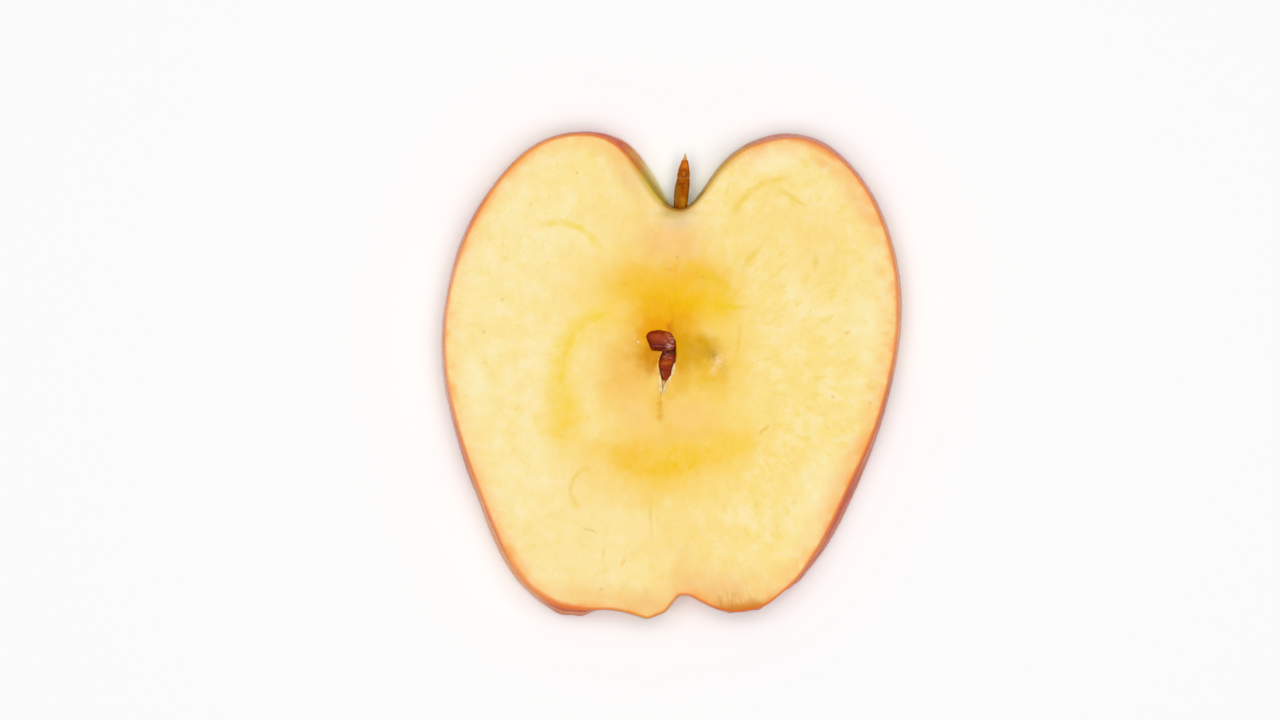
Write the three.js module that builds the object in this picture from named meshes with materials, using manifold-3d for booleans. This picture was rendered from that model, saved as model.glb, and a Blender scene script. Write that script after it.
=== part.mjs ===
// A thin slice cut lengthwise through the middle of a ripe red and yellow apple. It keeps its skin, its
// whole stem and two of its seeds, which lie in the opened seed cell.
// Millimetres, +Z up. The slice lies flat on z = 0 with its stem pointing along +Y.
import * as THREE from "three";
import { mergeVertices } from "three/addons/utils/BufferGeometryUtils.js";
import Module from "manifold-3d";

const wasm = await Module();
wasm.setup();

// ---------------------------------------------------------------- driving dimensions

const sliceThickness = 5.5;
const fitGap = 0.3; // clearance round the stem and the seeds
const curveSteps = 8; // steps from each anchor of the outline to the next

// The outline of the upper cut face, anticlockwise. Each anchor has its place and the heading, in degrees,
// in which the outline passes it. At a corner the outline leaves on the second heading.
const outlineAnchors = [
  { at: [35.75, 11.5], heading: 91 }, // right cheek, the widest place
  { at: [34.2, 21.3], heading: 107 },
  { at: [30.2, 30.0], heading: 125 }, // right shoulder
  { at: [25.0, 35.3], heading: 145 },
  { at: [18.2, 37.5], heading: 180 }, // crown of the right shoulder
  { at: [12.4, 36.1], heading: 204 },
  { at: [7.6, 32.4], heading: 229 }, // right side of the stem hollow
  { at: [4.3, 27.9], heading: 229 },
  { at: [1.1, 25.8], heading: 180 }, // bottom of the stem hollow
  { at: [-2.2, 27.7], heading: 128 },
  { at: [-5.5, 32.5], heading: 126 }, // left side of the stem hollow
  { at: [-9.3, 36.6], heading: 147 },
  { at: [-14.3, 37.9], heading: 181 }, // crown of the left shoulder
  { at: [-20.8, 36.3], heading: 208 },
  { at: [-27.7, 29.9], heading: 232 }, // left shoulder
  { at: [-33.6, 18.6], heading: 252 },
  { at: [-35.85, 4.9], heading: 270 }, // left cheek, the widest place
  { at: [-33.6, -9.0], heading: 286 },
  { at: [-28.0, -24.0], heading: 293 }, // flat lower left side
  { at: [-23.6, -32.3], heading: 308 },
  { at: [-18.6, -36.1], heading: 335 }, // left foot
  { at: [-14.0, -37.1], heading: 357 },
  { at: [-9.4, -37.2], heading: 356 },
  { at: [-3.8, -38.65], heading: 342, leaving: 20 }, // torn tip beside the blossom end
  { at: [-1.1, -37.65], heading: 16, leaving: 52 },
  { at: [1.1, -34.95], heading: 50, leaving: 5 }, // roof of the blossom hollow
  { at: [3.0, -35.0], heading: 345, leaving: 332 },
  { at: [8.9, -37.45], heading: 352 }, // right foot
  { at: [13.6, -37.0], heading: 12 },
  { at: [18.0, -34.1], heading: 38 },
  { at: [22.6, -28.4], heading: 57 },
  { at: [27.6, -18.6], heading: 65 }, // flat lower right side
  { at: [31.6, -10.0], heading: 68 },
  { at: [34.6, 0.0], heading: 78 },
];

// The upper face is cut a little in front of the core, so the skin runs outwards down to the lower face.
// Its run is the plain one plus smooth swells, each at a direction from the centre of the slice, in degrees.
const skinRun = 0.62;
const skinSwells = [
  { towards: 98, spread: 4.5, run: 1.0 }, // inner side of the left shoulder
  { towards: 86, spread: 5, run: -0.3 }, // bottom of the stem hollow
  { towards: 76, spread: 6, run: -0.15 },
  { towards: 135, spread: 16, run: -0.1 },
  { towards: 222, spread: 16, run: 0.5 }, // lower left side
  { towards: 245.5, spread: 1.2, run: 0.4 }, // two knobs under the left foot
  { towards: 249.2, spread: 1.2, run: 0.75 },
  { towards: 272, spread: 16, run: -0.35 }, // blossom end
  { towards: 301, spread: 1.2, run: 0.3 }, // a knob beside the right foot
  { towards: 320, spread: 14, run: 0.6 }, // lower right side
];
const sideLevels = [0, 0.3, 1.4, 2.8, 4.2, sliceThickness];
const lowerEdgeTuck = 0.2; // how far the lower edge of the skin is drawn in
const faceRings = [0.93, 0.75, 0.45]; // inner rings of each cut face, as shares of its rim

// Stem: its radius at stations from its buried end to its frayed tip, along +Y from where it leaves the
// flesh.
const stemRoot = { x: 1.5, y: 26.4, z: 3.1 };
const stemSides = 16;
const stemLean = { aside: 0.6, from: 0, to: 7 }; // it bends to +X between these two stations
const stemStations = [
  { along: -1.7, radius: 0.8 },
  { along: -1.4, radius: 1.0 },
  { along: 0.2, radius: 1.08 },
  { along: 1.7, radius: 1.12 },
  { along: 2.8, radius: 1.16 },
  { along: 4.0, radius: 1.08 },
  { along: 5.0, radius: 0.93 },
  { along: 6.2, radius: 0.78 },
  { along: 7.1, radius: 0.62 },
  { along: 7.5, radius: 0.3 },
  { along: 8.0, radius: 0.16 },
  { along: 8.5, radius: 0.06 },
];

// Seeds: plump drops with their point along their own +X. turn is the plan heading of the point and dip how
// far the point is raised, both in degrees. slim is how much narrower the point is than the middle.
const seeds = {
  seed_across: { at: [-1.75, 5.2, 4.95], size: [4.8, 3.2, 2.2], turn: 173, dip: -3, slim: 0.3 },
  seed_upright: { at: [-0.55, 2.3, 3.55], size: [7.0, 2.75, 2.0], turn: 263, dip: 19, slim: 0.2 },
};
const seedSides = 20;
const seedRings = 14;
const seedFullness = 2.6; // 2 is an ellipsoid, more is blunter

// Seed cell: an almond hollow with its point along -Y, open at the upper face.
const cell = { at: [-0.95, 1.8], length: 9.4, width: 3.8, depth: 4.2, slim: 0.5 };
// The next cell is only grazed by the cut: a shallow dent.
const dent = { at: [5.0, 3.0], length: 8.2, width: 5.6, depth: 0.6, above: 1.4 };
// Papery lining of the cell that stands up along the two edges of its point, between two shares of its
// length.
const linings = [
  { side: -1, from: 0.3, to: -0.96 },
  { side: 1, from: -0.1, to: -0.96 },
];
const lining = { width: 0.4, proud: 0.3, sunk: 0.5, steps: 10 };

const colours = { flesh: 0xf6d98c, stem: 0x96531a, seed: 0x7a2c14 };

// ---------------------------------------------------------------- solids

function solidOf(geometry) {
  const bare = geometry.clone();
  bare.deleteAttribute("normal");
  bare.deleteAttribute("uv");
  const merged = mergeVertices(bare, 1e-4);
  return new wasm.Manifold(
    new wasm.Mesh({
      numProp: 3,
      vertProperties: new Float32Array(merged.attributes.position.array),
      triVerts: new Uint32Array(merged.index.array),
    }),
  );
}

function geometryOf(solid) {
  const made = solid.getMesh();
  const indexed = new THREE.BufferGeometry();
  indexed.setAttribute("position", new THREE.BufferAttribute(made.vertProperties, 3));
  indexed.setIndex(new THREE.BufferAttribute(made.triVerts, 1));
  const faceted = indexed.toNonIndexed();
  faceted.computeVertexNormals();
  return faceted;
}

function reshape(geometry, move) {
  const places = geometry.attributes.position;
  const point = new THREE.Vector3();
  for (let i = 0; i < places.count; i++) {
    move(point.fromBufferAttribute(places, i));
    places.setXYZ(i, point.x, point.y, point.z);
  }
  return geometry;
}

// ---------------------------------------------------------------- outline

const unit = (degrees) => {
  const angle = THREE.MathUtils.degToRad(degrees);
  return new THREE.Vector2(Math.cos(angle), Math.sin(angle));
};

// The curve from one anchor to the next, as close to a circular arc as its two headings allow.
function outlineSegment(from, to) {
  const start = new THREE.Vector2(...from.at);
  const end = new THREE.Vector2(...to.at);
  const startHeading = from.leaving ?? from.heading;
  const turn = THREE.MathUtils.euclideanModulo(to.heading - startHeading + 180, 360) - 180;
  const reach = start.distanceTo(end) / 3 / Math.cos(THREE.MathUtils.degToRad(turn / 4)) ** 2;
  return new THREE.CubicBezierCurve(
    start,
    unit(startHeading).multiplyScalar(reach).add(start),
    unit(to.heading).multiplyScalar(-reach).add(end),
    end,
  );
}

function outlinePoints() {
  const points = [];
  outlineAnchors.forEach((anchor, i) => {
    const segment = outlineSegment(anchor, outlineAnchors[(i + 1) % outlineAnchors.length]);
    points.push(...segment.getSpacedPoints(curveSteps).slice(0, -1));
  });
  return points;
}

function outwardNormals(points) {
  return points.map((_, i) => {
    const before = points.at(i - 1);
    const after = points[(i + 1) % points.length];
    return new THREE.Vector2(after.y - before.y, before.x - after.x).normalize();
  });
}

function runTowards(point) {
  const towards = THREE.MathUtils.radToDeg(Math.atan2(point.y, point.x));
  return skinSwells.reduce((run, swell) => {
    const away = THREE.MathUtils.euclideanModulo(towards - swell.towards + 180, 360) - 180;
    return run + swell.run * Math.exp(-0.5 * (away / swell.spread) ** 2);
  }, skinRun);
}

// ---------------------------------------------------------------- the pieces

// The skin's share of its run at a height: it leaves the upper edge slanting and is upright at the bottom.
function shareAt(height) {
  const up = height / sliceThickness;
  return 1 - up * up;
}

// Fills a cut face from its rim to its middle with rings that halve their points, and a fan inside.
function fillFace(places, faces, rimStart, rim, height, facesUp) {
  const triangle = (a, b, c) => faces.push(...(facesUp ? [a, b, c] : [a, c, b]));
  let outer = rim.map((_, i) => rimStart + i);
  for (const share of faceRings) {
    const start = places.length / 3;
    const inner = rim.filter((_, i) => i % (rim.length / (outer.length / 2)) === 0);
    inner.forEach((point) => places.push(point.x * share, point.y * share, height));
    inner.forEach((_, i) => {
      const [a, b, c] = [0, 1, 2].map((k) => outer[(2 * i + k) % outer.length]);
      const [here, next] = [start + i, start + ((i + 1) % inner.length)];
      triangle(a, b, here);
      triangle(b, next, here);
      triangle(b, c, next);
    });
    outer = inner.map((_, i) => start + i);
  }
  const middle = places.push(0, 0, height) / 3 - 1;
  outer.forEach((here, i) => triangle(here, outer[(i + 1) % outer.length], middle));
}

function slabGeometry() {
  const outline = outlinePoints();
  const normals = outwardNormals(outline);
  const count = outline.length;
  const places = [];
  const faces = [];
  const rims = sideLevels.map((height, level) => {
    const tuck = level === 0 ? lowerEdgeTuck : 0;
    const rim = outline.map((point, i) =>
      normals[i].clone().multiplyScalar(runTowards(point) * shareAt(height) - tuck).add(point),
    );
    rim.forEach((point) => places.push(point.x, point.y, height));
    return rim;
  });
  for (let level = 0; level < rims.length - 1; level++) {
    for (let i = 0; i < count; i++) {
      const [a, b] = [level * count + i, level * count + ((i + 1) % count)];
      faces.push(a, b, b + count, a, b + count, a + count);
    }
  }
  fillFace(places, faces, (rims.length - 1) * count, rims.at(-1), sliceThickness, true);
  fillFace(places, faces, 0, rims[0], 0, false);
  const slab = new THREE.BufferGeometry();
  slab.setAttribute("position", new THREE.Float32BufferAttribute(places, 3));
  slab.setIndex(faces);
  return slab;
}

function seedGeometry({ size: [length, width, height], slim }, grown) {
  const ball = new THREE.SphereGeometry(1, seedSides, seedRings).rotateZ(-Math.PI / 2);
  return reshape(ball, (point) => {
    const round = Math.hypot(point.y, point.z);
    const full = Math.sqrt(1 - Math.min(1, Math.abs(point.x)) ** seedFullness);
    const share = (full / Math.max(round, 1e-6)) * (1 - slim * ((point.x + 1) / 2) ** 2);
    point.x *= length / 2 + grown;
    point.y *= (width / 2 + grown) * share;
    point.z *= (height / 2 + grown) * share;
  });
}

function placeSeed(object, seed) {
  object.position.set(...seed.at);
  object.rotation.set(0, THREE.MathUtils.degToRad(-seed.dip), THREE.MathUtils.degToRad(seed.turn), "ZYX");
  object.updateMatrix();
  return object;
}

function stemGeometry(grown) {
  const profile = stemStations.map(({ along, radius }) => new THREE.Vector2(radius + grown, along));
  profile.unshift(new THREE.Vector2(0, stemStations[0].along - grown));
  profile.push(new THREE.Vector2(0, stemStations.at(-1).along + grown));
  return reshape(new THREE.LatheGeometry(profile, stemSides), (point) => {
    point.x += stemLean.aside * THREE.MathUtils.smoothstep(point.y, stemLean.from, stemLean.to);
  });
}

// How wide the cell is at a share of its length, from -1 at its point to 1, as a share of its full width.
const cellSlimness = (share) => 1 - cell.slim * ((1 - share) / 2) ** 1.5;

function cellSolid() {
  const ball = new THREE.SphereGeometry(1, 28, 18);
  reshape(ball, (point) => {
    const slimness = cellSlimness(point.y);
    point.set(
      cell.at[0] + point.x * (cell.width / 2) * slimness,
      cell.at[1] + point.y * (cell.length / 2),
      sliceThickness + point.z * cell.depth * slimness,
    );
  });
  return solidOf(ball);
}

function dentSolid() {
  const height = dent.depth + dent.above;
  const widen = 1 / Math.sqrt(1 - (dent.above / height) ** 2);
  const ball = new THREE.SphereGeometry(1, 28, 18)
    .rotateX(Math.PI / 2)
    .scale((dent.width / 2) * widen, (dent.length / 2) * widen, height)
    .translate(...dent.at, sliceThickness + dent.above);
  return solidOf(ball);
}

// A low ridge along one edge of the cell. The section's x runs down and its y across the ridge.
function liningSolid({ side, from, to }) {
  const edge = Array.from({ length: lining.steps + 1 }, (_, i) => {
    const share = THREE.MathUtils.lerp(from, to, i / lining.steps);
    const aside = side * (cell.width / 2) * cellSlimness(share) * Math.sqrt(1 - share * share);
    return new THREE.Vector3(cell.at[0] + aside, cell.at[1] + (share * cell.length) / 2, sliceThickness);
  });
  const section = new THREE.Shape([
    new THREE.Vector2(-lining.proud, -lining.width / 6),
    new THREE.Vector2(-lining.proud, lining.width / 6),
    new THREE.Vector2(lining.sunk, lining.width / 2),
    new THREE.Vector2(lining.sunk, -lining.width / 2),
  ]);
  const extrudePath = new THREE.CatmullRomCurve3(edge);
  return solidOf(new THREE.ExtrudeGeometry(section, { steps: lining.steps, extrudePath }));
}

function sliceGeometry() {
  const opened = solidOf(slabGeometry()).subtract(cellSolid()).subtract(dentSolid());
  const lined = linings.reduce((body, run) => body.add(liningSolid(run)), opened);
  const beds = Object.values(seeds).map((seed) => {
    const room = placeSeed(new THREE.Object3D(), seed);
    return solidOf(seedGeometry(seed, fitGap).applyMatrix4(room.matrix));
  });
  const socket = solidOf(stemGeometry(fitGap).translate(stemRoot.x, stemRoot.y, stemRoot.z));
  return geometryOf([...beds, socket].reduce((body, hollow) => body.subtract(hollow), lined));
}

function meshOf(name, geometry, colour, roughness) {
  const material = new THREE.MeshStandardMaterial({ color: colour, roughness, metalness: 0 });
  const mesh = new THREE.Mesh(geometry, material);
  mesh.name = name;
  return mesh;
}

// ---------------------------------------------------------------- assembly

const slice = meshOf("slice", sliceGeometry(), colours.flesh, 0.4);

const stem = meshOf("stem", stemGeometry(0), colours.stem, 0.7);
stem.position.set(stemRoot.x, stemRoot.y, stemRoot.z);

const seedMeshes = Object.entries(seeds).map(([name, seed]) =>
  placeSeed(meshOf(name, seedGeometry(seed, 0), colours.seed, 0.3), seed),
);

// The origin is under the middle of the slice, on the surface that it lies on.
const pieces = new THREE.Group();
pieces.add(slice, stem, ...seedMeshes);
const middle = new THREE.Box3().setFromObject(pieces).getCenter(new THREE.Vector3());
pieces.position.set(-middle.x, -middle.y, 0);

const appleSlice = new THREE.Group();
appleSlice.add(pieces);

export default appleSlice;
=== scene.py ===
import math

import bmesh
import bpy
import numpy as np
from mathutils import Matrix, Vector, noise
from mathutils.bvhtree import BVHTree
from mathutils.kdtree import KDTree


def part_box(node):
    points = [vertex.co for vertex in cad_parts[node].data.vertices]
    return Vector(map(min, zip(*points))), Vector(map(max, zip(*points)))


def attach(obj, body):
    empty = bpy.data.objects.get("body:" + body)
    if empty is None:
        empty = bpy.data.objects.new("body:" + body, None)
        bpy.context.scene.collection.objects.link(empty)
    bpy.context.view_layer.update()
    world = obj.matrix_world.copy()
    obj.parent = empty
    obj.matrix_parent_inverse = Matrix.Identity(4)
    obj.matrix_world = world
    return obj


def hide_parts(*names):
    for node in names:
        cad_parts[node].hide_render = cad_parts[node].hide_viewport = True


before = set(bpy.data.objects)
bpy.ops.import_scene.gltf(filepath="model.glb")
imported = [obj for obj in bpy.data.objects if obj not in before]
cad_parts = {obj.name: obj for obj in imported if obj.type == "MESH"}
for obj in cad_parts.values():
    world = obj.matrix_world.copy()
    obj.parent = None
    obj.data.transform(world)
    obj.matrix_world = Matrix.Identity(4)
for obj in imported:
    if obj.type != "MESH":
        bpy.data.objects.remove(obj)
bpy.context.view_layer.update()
mm = 0.001  # sizes below are in millimetres, places in the frame's own axes


def smooth(low, high, value):  # 0 below low, 1 above high, eased between
    share = np.clip((np.asarray(value, float) - low) / (high - low), 0, 1)
    return share * share * (3 - 2 * share)


def blend(low, high, share):
    return low + (high - low) * share


def boxInMm(node):
    low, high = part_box(node)
    return np.array(low) / mm, np.array(high) / mm


def fractal(points, scale, octaves=3, seed=0.0):  # about -1 to 1 at each point, scale in millimetres
    offset = Vector((seed, seed * 1.7, -seed))
    return np.array([noise.fractal(Vector(p) / scale + offset, 1.0, 2.0, octaves) for p in points])


def waves(points, rows):  # the sum of several fractals: depth, scale, octaves and seed of each
    return sum(depth * fractal(points, scale, octaves, seed) for depth, scale, octaves, seed in rows)


view = {
    "above": (-4.93, 2.44),  # where the camera hangs over the slice
    "lens": 150,
    "distance": 848.2,
}


def hangCamera():
    data = bpy.data.cameras.new("camera")
    data.lens = view["lens"]
    data.clip_start = 0.05
    data.clip_end = 20
    camera = bpy.data.objects.new("camera", data)
    camera.location = Vector((*view["above"], view["distance"])) * mm
    bpy.context.scene.collection.objects.link(camera)
    bpy.context.scene.camera = camera


studio = {
    "panels": 4,
    "panelSize": 0.7,  # metres
    "distance": 1.25,  # metres
    "elevation": 66,
    "power": 3.55,  # watts a panel
    "world": 0.25,
    "floorSize": 6.0,  # metres
    "floorTone": "#FAFAFA",
}


def hangLights():
    for i in range(studio["panels"]):
        around = math.radians(45 + 360 * i / studio["panels"])
        up = math.radians(studio["elevation"])
        away = Vector((math.cos(around) * math.cos(up), math.sin(around) * math.cos(up), math.sin(up)))
        data = bpy.data.lights.new("softbox", "AREA")
        data.size = studio["panelSize"]
        data.energy = studio["power"]
        light = bpy.data.objects.new("softbox", data)
        light.location = away * studio["distance"]
        light.rotation_euler = away.to_track_quat("Z", "Y").to_euler()
        bpy.context.scene.collection.objects.link(light)
    world = bpy.data.worlds.new("studio")
    world.use_nodes = True
    world.node_tree.nodes["Background"].inputs["Color"].default_value = (1.0, 0.995, 0.985, 1)
    world.node_tree.nodes["Background"].inputs["Strength"].default_value = studio["world"]
    bpy.context.scene.world = world
    bpy.context.scene.view_settings.view_transform = "Standard"


hangCamera()
hangLights()
print("camera and light ready")


def tone(text):  # a hex colour as linear light
    parts = [int(text[i : i + 2], 16) / 255 for i in (1, 3, 5)]
    return (*[p / 12.92 if p <= 0.04045 else ((p + 0.055) / 1.055) ** 2.4 for p in parts], 1)


def add(tree, kind, inputs=None, **settings):
    node = tree.nodes.new("ShaderNode" + kind)
    for name, value in settings.items():
        setattr(node, name, value)
    for name, value in (inputs or {}).items():
        if isinstance(value, bpy.types.NodeSocket):
            tree.links.new(value, node.inputs[name])
        else:
            node.inputs[name].default_value = value
    return node


def calc(tree, operation, *values):
    return add(tree, "Math", dict(enumerate(values)), operation=operation).outputs[0]


def ramp(tree, value, low, high, start=0.0, end=1.0):  # start below low, end above high
    inputs = {"Value": value, "From Min": low, "From Max": high, "To Min": start, "To Max": end}
    return add(tree, "MapRange", inputs, interpolation_type="SMOOTHSTEP").outputs[0]


def times(tree, first, *others):
    for other in others:
        first = calc(tree, "MULTIPLY", first, other)
    return first


def vectorCalc(tree, operation, *values, output="Vector"):
    return add(tree, "VectorMath", dict(enumerate(values)), operation=operation).outputs[output]


def layTone(tree, under, over, share, blendType="MIX"):  # both are hex colours or sockets
    under, over = [tone(side) if isinstance(side, str) else side for side in (under, over)]
    inputs = {0: share, 6: under, 7: over}
    return add(tree, "Mix", inputs, data_type="RGBA", blend_type=blendType).outputs[2]


def layTones(tree, colour, *layers):  # (tone, share) pairs, each over the last
    for over, share in layers:
        colour = layTone(tree, colour, over, share)
    return colour


def millimetres(tree):
    metres = add(tree, "TexCoord").outputs["Object"]
    return add(tree, "VectorMath", {0: metres, "Scale": 1 / mm}, operation="SCALE").outputs[0]


def cloud(tree, where, scale, detail=3, stretch=None, distortion=0.0, roughness=0.55, output=0):
    if stretch:
        where = add(tree, "Mapping", {"Vector": where, "Scale": stretch}).outputs[0]
    inputs = {"Vector": where, "Scale": scale, "Detail": detail}
    inputs.update({"Roughness": roughness, "Distortion": distortion})
    return add(tree, "TexNoise", inputs).outputs[output]


def stirred(tree, where, scale, detail, reach):  # the same place, moved aside a little by a cloud
    wobble = cloud(tree, where, scale, detail, output="Color")
    spread = vectorCalc(tree, "SUBTRACT", wobble, (0.5, 0.5, 0.5))
    return vectorCalc(tree, "MULTIPLY_ADD", spread, (reach, reach, 0), where)


def newGroup(name, inputs, outputs):  # inputs and outputs are (name, kind, value)
    group = bpy.data.node_groups.new(name, "ShaderNodeTree")
    for label, kind, value in inputs:
        socket = group.interface.new_socket(label, in_out="INPUT", socket_type="NodeSocket" + kind)
        if value is not None:
            socket.default_value = value
    for label, kind in outputs:
        group.interface.new_socket(label, in_out="OUTPUT", socket_type="NodeSocket" + kind)
    return group, group.nodes.new("NodeGroupInput").outputs, group.nodes.new("NodeGroupOutput").inputs


def useGroup(tree, group, inputs):
    return add(tree, "Group", inputs, node_tree=group).outputs[0]


def newMaterial(name):
    material = bpy.data.materials.new(name)
    material.use_nodes = True
    return material, material.node_tree, material.node_tree.nodes["Principled BSDF"]


def finishSurface(tree, shader, colour, roughness, specular):
    tree.links.new(colour, shader.inputs["Base Color"])
    tree.links.new(roughness, shader.inputs["Roughness"])
    shader.inputs["Specular IOR Level"].default_value = specular


def roughen(tree, shader, height, strength, distance):  # distance in millimetres
    bump = add(tree, "Bump", {"Height": height, "Strength": strength, "Distance": distance * mm})
    tree.links.new(bump.outputs[0], shader.inputs["Normal"])


def letLightIn(shader, weight, radius):  # radius of red, green and blue in millimetres
    shader.inputs["Subsurface Weight"].default_value = weight
    shader.inputs["Subsurface Radius"].default_value = radius
    shader.inputs["Subsurface Scale"].default_value = mm


# Sockets that say where an oval or an arc lies: its middle, and its two directions over their reach.
placeSockets = [
    ("Vector", "Vector", None),
    ("Middle", "Vector", (0, 0, 0)),
    ("Along", "Vector", (1, 0, 0)),
    ("Aside", "Vector", (0, 1, 0)),
]


def reachFrom(tree, given):  # distance from the middle in the two scaled directions, and its two parts
    offset = vectorCalc(tree, "SUBTRACT", given["Vector"], given["Middle"])
    along = vectorCalc(tree, "DOT_PRODUCT", offset, given["Along"], output="Value")
    aside = vectorCalc(tree, "DOT_PRODUCT", offset, given["Aside"], output="Value")
    square = calc(tree, "ADD", times(tree, along, along), times(tree, aside, aside))
    return calc(tree, "SQRT", square), along, aside


def makeSoftPatch():  # an oval mask that fades towards its edge
    group, given, made = newGroup("softPatch", [*placeSockets, ("Core", "Float", 0.3)], [("Mask", "Float")])
    away = reachFrom(group, given)[0]
    beyond = calc(group, "MAXIMUM", calc(group, "SUBTRACT", away, given["Core"]), 0.0)
    share = calc(group, "DIVIDE", beyond, calc(group, "SUBTRACT", 1.0, given["Core"]))
    group.links.new(calc(group, "EXPONENT", times(group, share, share, -2.3)), made["Mask"])
    return group


def makeArcStroke():  # a thin arc about a middle, with its own middle in the Along direction
    sizes = [("Radius", "Float", 5.0), ("Width", "Float", 0.5), ("Reach", "Float", 0.5)]
    group, given, made = newGroup("arcStroke", placeSockets + sizes, [("Mask", "Float")])
    away, ahead, beside = reachFrom(group, given)
    aside = calc(group, "ABSOLUTE", calc(group, "SUBTRACT", away, given["Radius"]))
    across = ramp(group, calc(group, "DIVIDE", aside, given["Width"]), 0.15, 1.0, 1.0, 0.0)
    turn = calc(group, "ABSOLUTE", calc(group, "ARCTAN2", beside, ahead))
    along = ramp(group, calc(group, "DIVIDE", turn, given["Reach"]), 0.55, 1.0, 1.0, 0.0)
    group.links.new(times(group, across, along), made["Mask"])
    return group


def makeMottle():  # uneven cells, about -1 to 1 in Value
    sockets = [("Vector", "Vector", None), ("Scale", "Float", 1.0), ("Sharpness", "Float", 0.5)]
    group, given, made = newGroup("mottle", sockets, [("Value", "Float")])
    coarse = cloud(group, given["Vector"], given["Scale"], 4, roughness=0.6)
    half = calc(group, "SUBTRACT", 0.32, times(group, given["Sharpness"], 0.28))
    low, high = calc(group, "SUBTRACT", 0.5, half), calc(group, "ADD", 0.5, half)
    group.links.new(ramp(group, coarse, low, high, -1.0, 1.0), made["Value"])
    return group


def makeRadialGrain():  # streaks that run away from the core
    sockets = [("Vector", "Vector", None), ("Fineness", "Float", 20.0), ("Run", "Float", 0.2)]
    group, given, made = newGroup("radialGrain", sockets, [("Value", "Float")])
    flat = vectorCalc(group, "MULTIPLY", given["Vector"], (1, 1, 0))
    away = vectorCalc(group, "LENGTH", flat, output="Value")
    heading = vectorCalc(group, "NORMALIZE", flat)
    wound = add(group, "VectorMath", {0: heading, "Scale": given["Fineness"]}, operation="SCALE").outputs[0]
    parts = add(group, "SeparateXYZ", {0: wound}).outputs
    along = times(group, away, given["Run"])
    polar = add(group, "CombineXYZ", {0: parts[0], 1: parts[1], 2: along}).outputs[0]
    group.links.new(cloud(group, polar, 1.0, 3), made["Value"])
    return group


softPatch = makeSoftPatch()
arcStroke = makeArcStroke()
mottle = makeMottle()
radialGrain = makeRadialGrain()


def turned(at, size, turn):  # where a patch lies, and its two scaled directions
    sine, cosine = math.sin(math.radians(turn)), math.cos(math.radians(turn))
    along = (cosine / size[0], sine / size[0], 0)
    aside = (-sine / size[1], cosine / size[1], 0)
    return {"Middle": (*at, 0), "Along": along, "Aside": aside}


def patchMask(tree, where, at, size, turn=0, core=0.3):
    return useGroup(tree, softPatch, {"Vector": where, "Core": core, **turned(at, size, turn)})


def layPatches(tree, colour, where, patches, drift=None):
    for hexTone, at, size, turn, core, share in patches:
        mask = patchMask(tree, where, at, size, turn, core)
        if drift is not None:
            mask = times(tree, mask, drift)
        colour = layTone(tree, colour, hexTone, times(tree, mask, share))
    return colour


def mottled(tree, where, scale, sharpness):
    return useGroup(tree, mottle, {"Vector": where, "Scale": scale, "Sharpness": sharpness})


# Ground colour of the skin round the slice, used by the skin and by the line that it leaves on the cut face.
skinGround = {
    "base": "#DA6E44",
    "patches": [  # tone, at, size, turn, share of it that is even, share laid on
        ("#FBC49C", (-38, 8), (10, 28), 0, 0.3, 0.9),
        ("#FBAE70", (-28, -27), (11, 17), 35, 0.3, 0.95),
        ("#D86A26", (-15.8, -38), (5, 3.6), 0, 0.2, 0.9),
        ("#CE9036", (-3, -38.5), (10.5, 6), 0, 0.2, 0.95),
        ("#B44A1C", (11, -40), (10, 6.5), 0, 0.2, 0.85),
        ("#D0624C", (29, -22), (8, 20), -30, 0.4, 0.9),
        ("#F8A468", (37, 12), (7, 21), 0, 0.4, 0.85),
        ("#F29C70", (31.6, 29.4), (5, 5), 0, 0.2, 0.6),
        ("#B86048", (35.6, -3), (4, 5), 0, 0.2, 0.6),
        ("#DC9078", (20, 37), (11, 7), -20, 0.4, 0.85),
        ("#F0A04C", (-25, 33), (12, 5), 32, 0.4, 0.85),
        ("#E05004", (-8.8, 37), (5, 3), -25, 0.4, 0.95),
        ("#E29620", (-4.8, 33.8), (2.8, 3.6), 35, 0.5, 0.95),
        ("#D4C43C", (-2.3, 29.2), (2.6, 4.4), 28, 0.5, 0.95),
        ("#968626", (-0.3, 26.5), (1.5, 0.8), -35, 0.4, 0.9),
        ("#C09C2C", (8.6, 32.2), (8.4, 2.6), 44, 0.5, 0.95),
        ("#8C7420", (4.4, 27.9), (2.6, 1.7), 40, 0.5, 0.95),
        ("#946806", (1.4, 26.2), (2.8, 1.4), 0, 0.5, 0.95),
    ],
}


def makeSkinGround():
    group, given, made = newGroup("skinGround", [("Vector", "Vector", None)], [("Color", "Color")])
    bent = stirred(group, given["Vector"], 0.25, 2, 3)
    colour = layPatches(group, skinGround["base"], bent, skinGround["patches"])
    group.links.new(colour, made["Color"])
    return group


skinColour = makeSkinGround()


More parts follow.
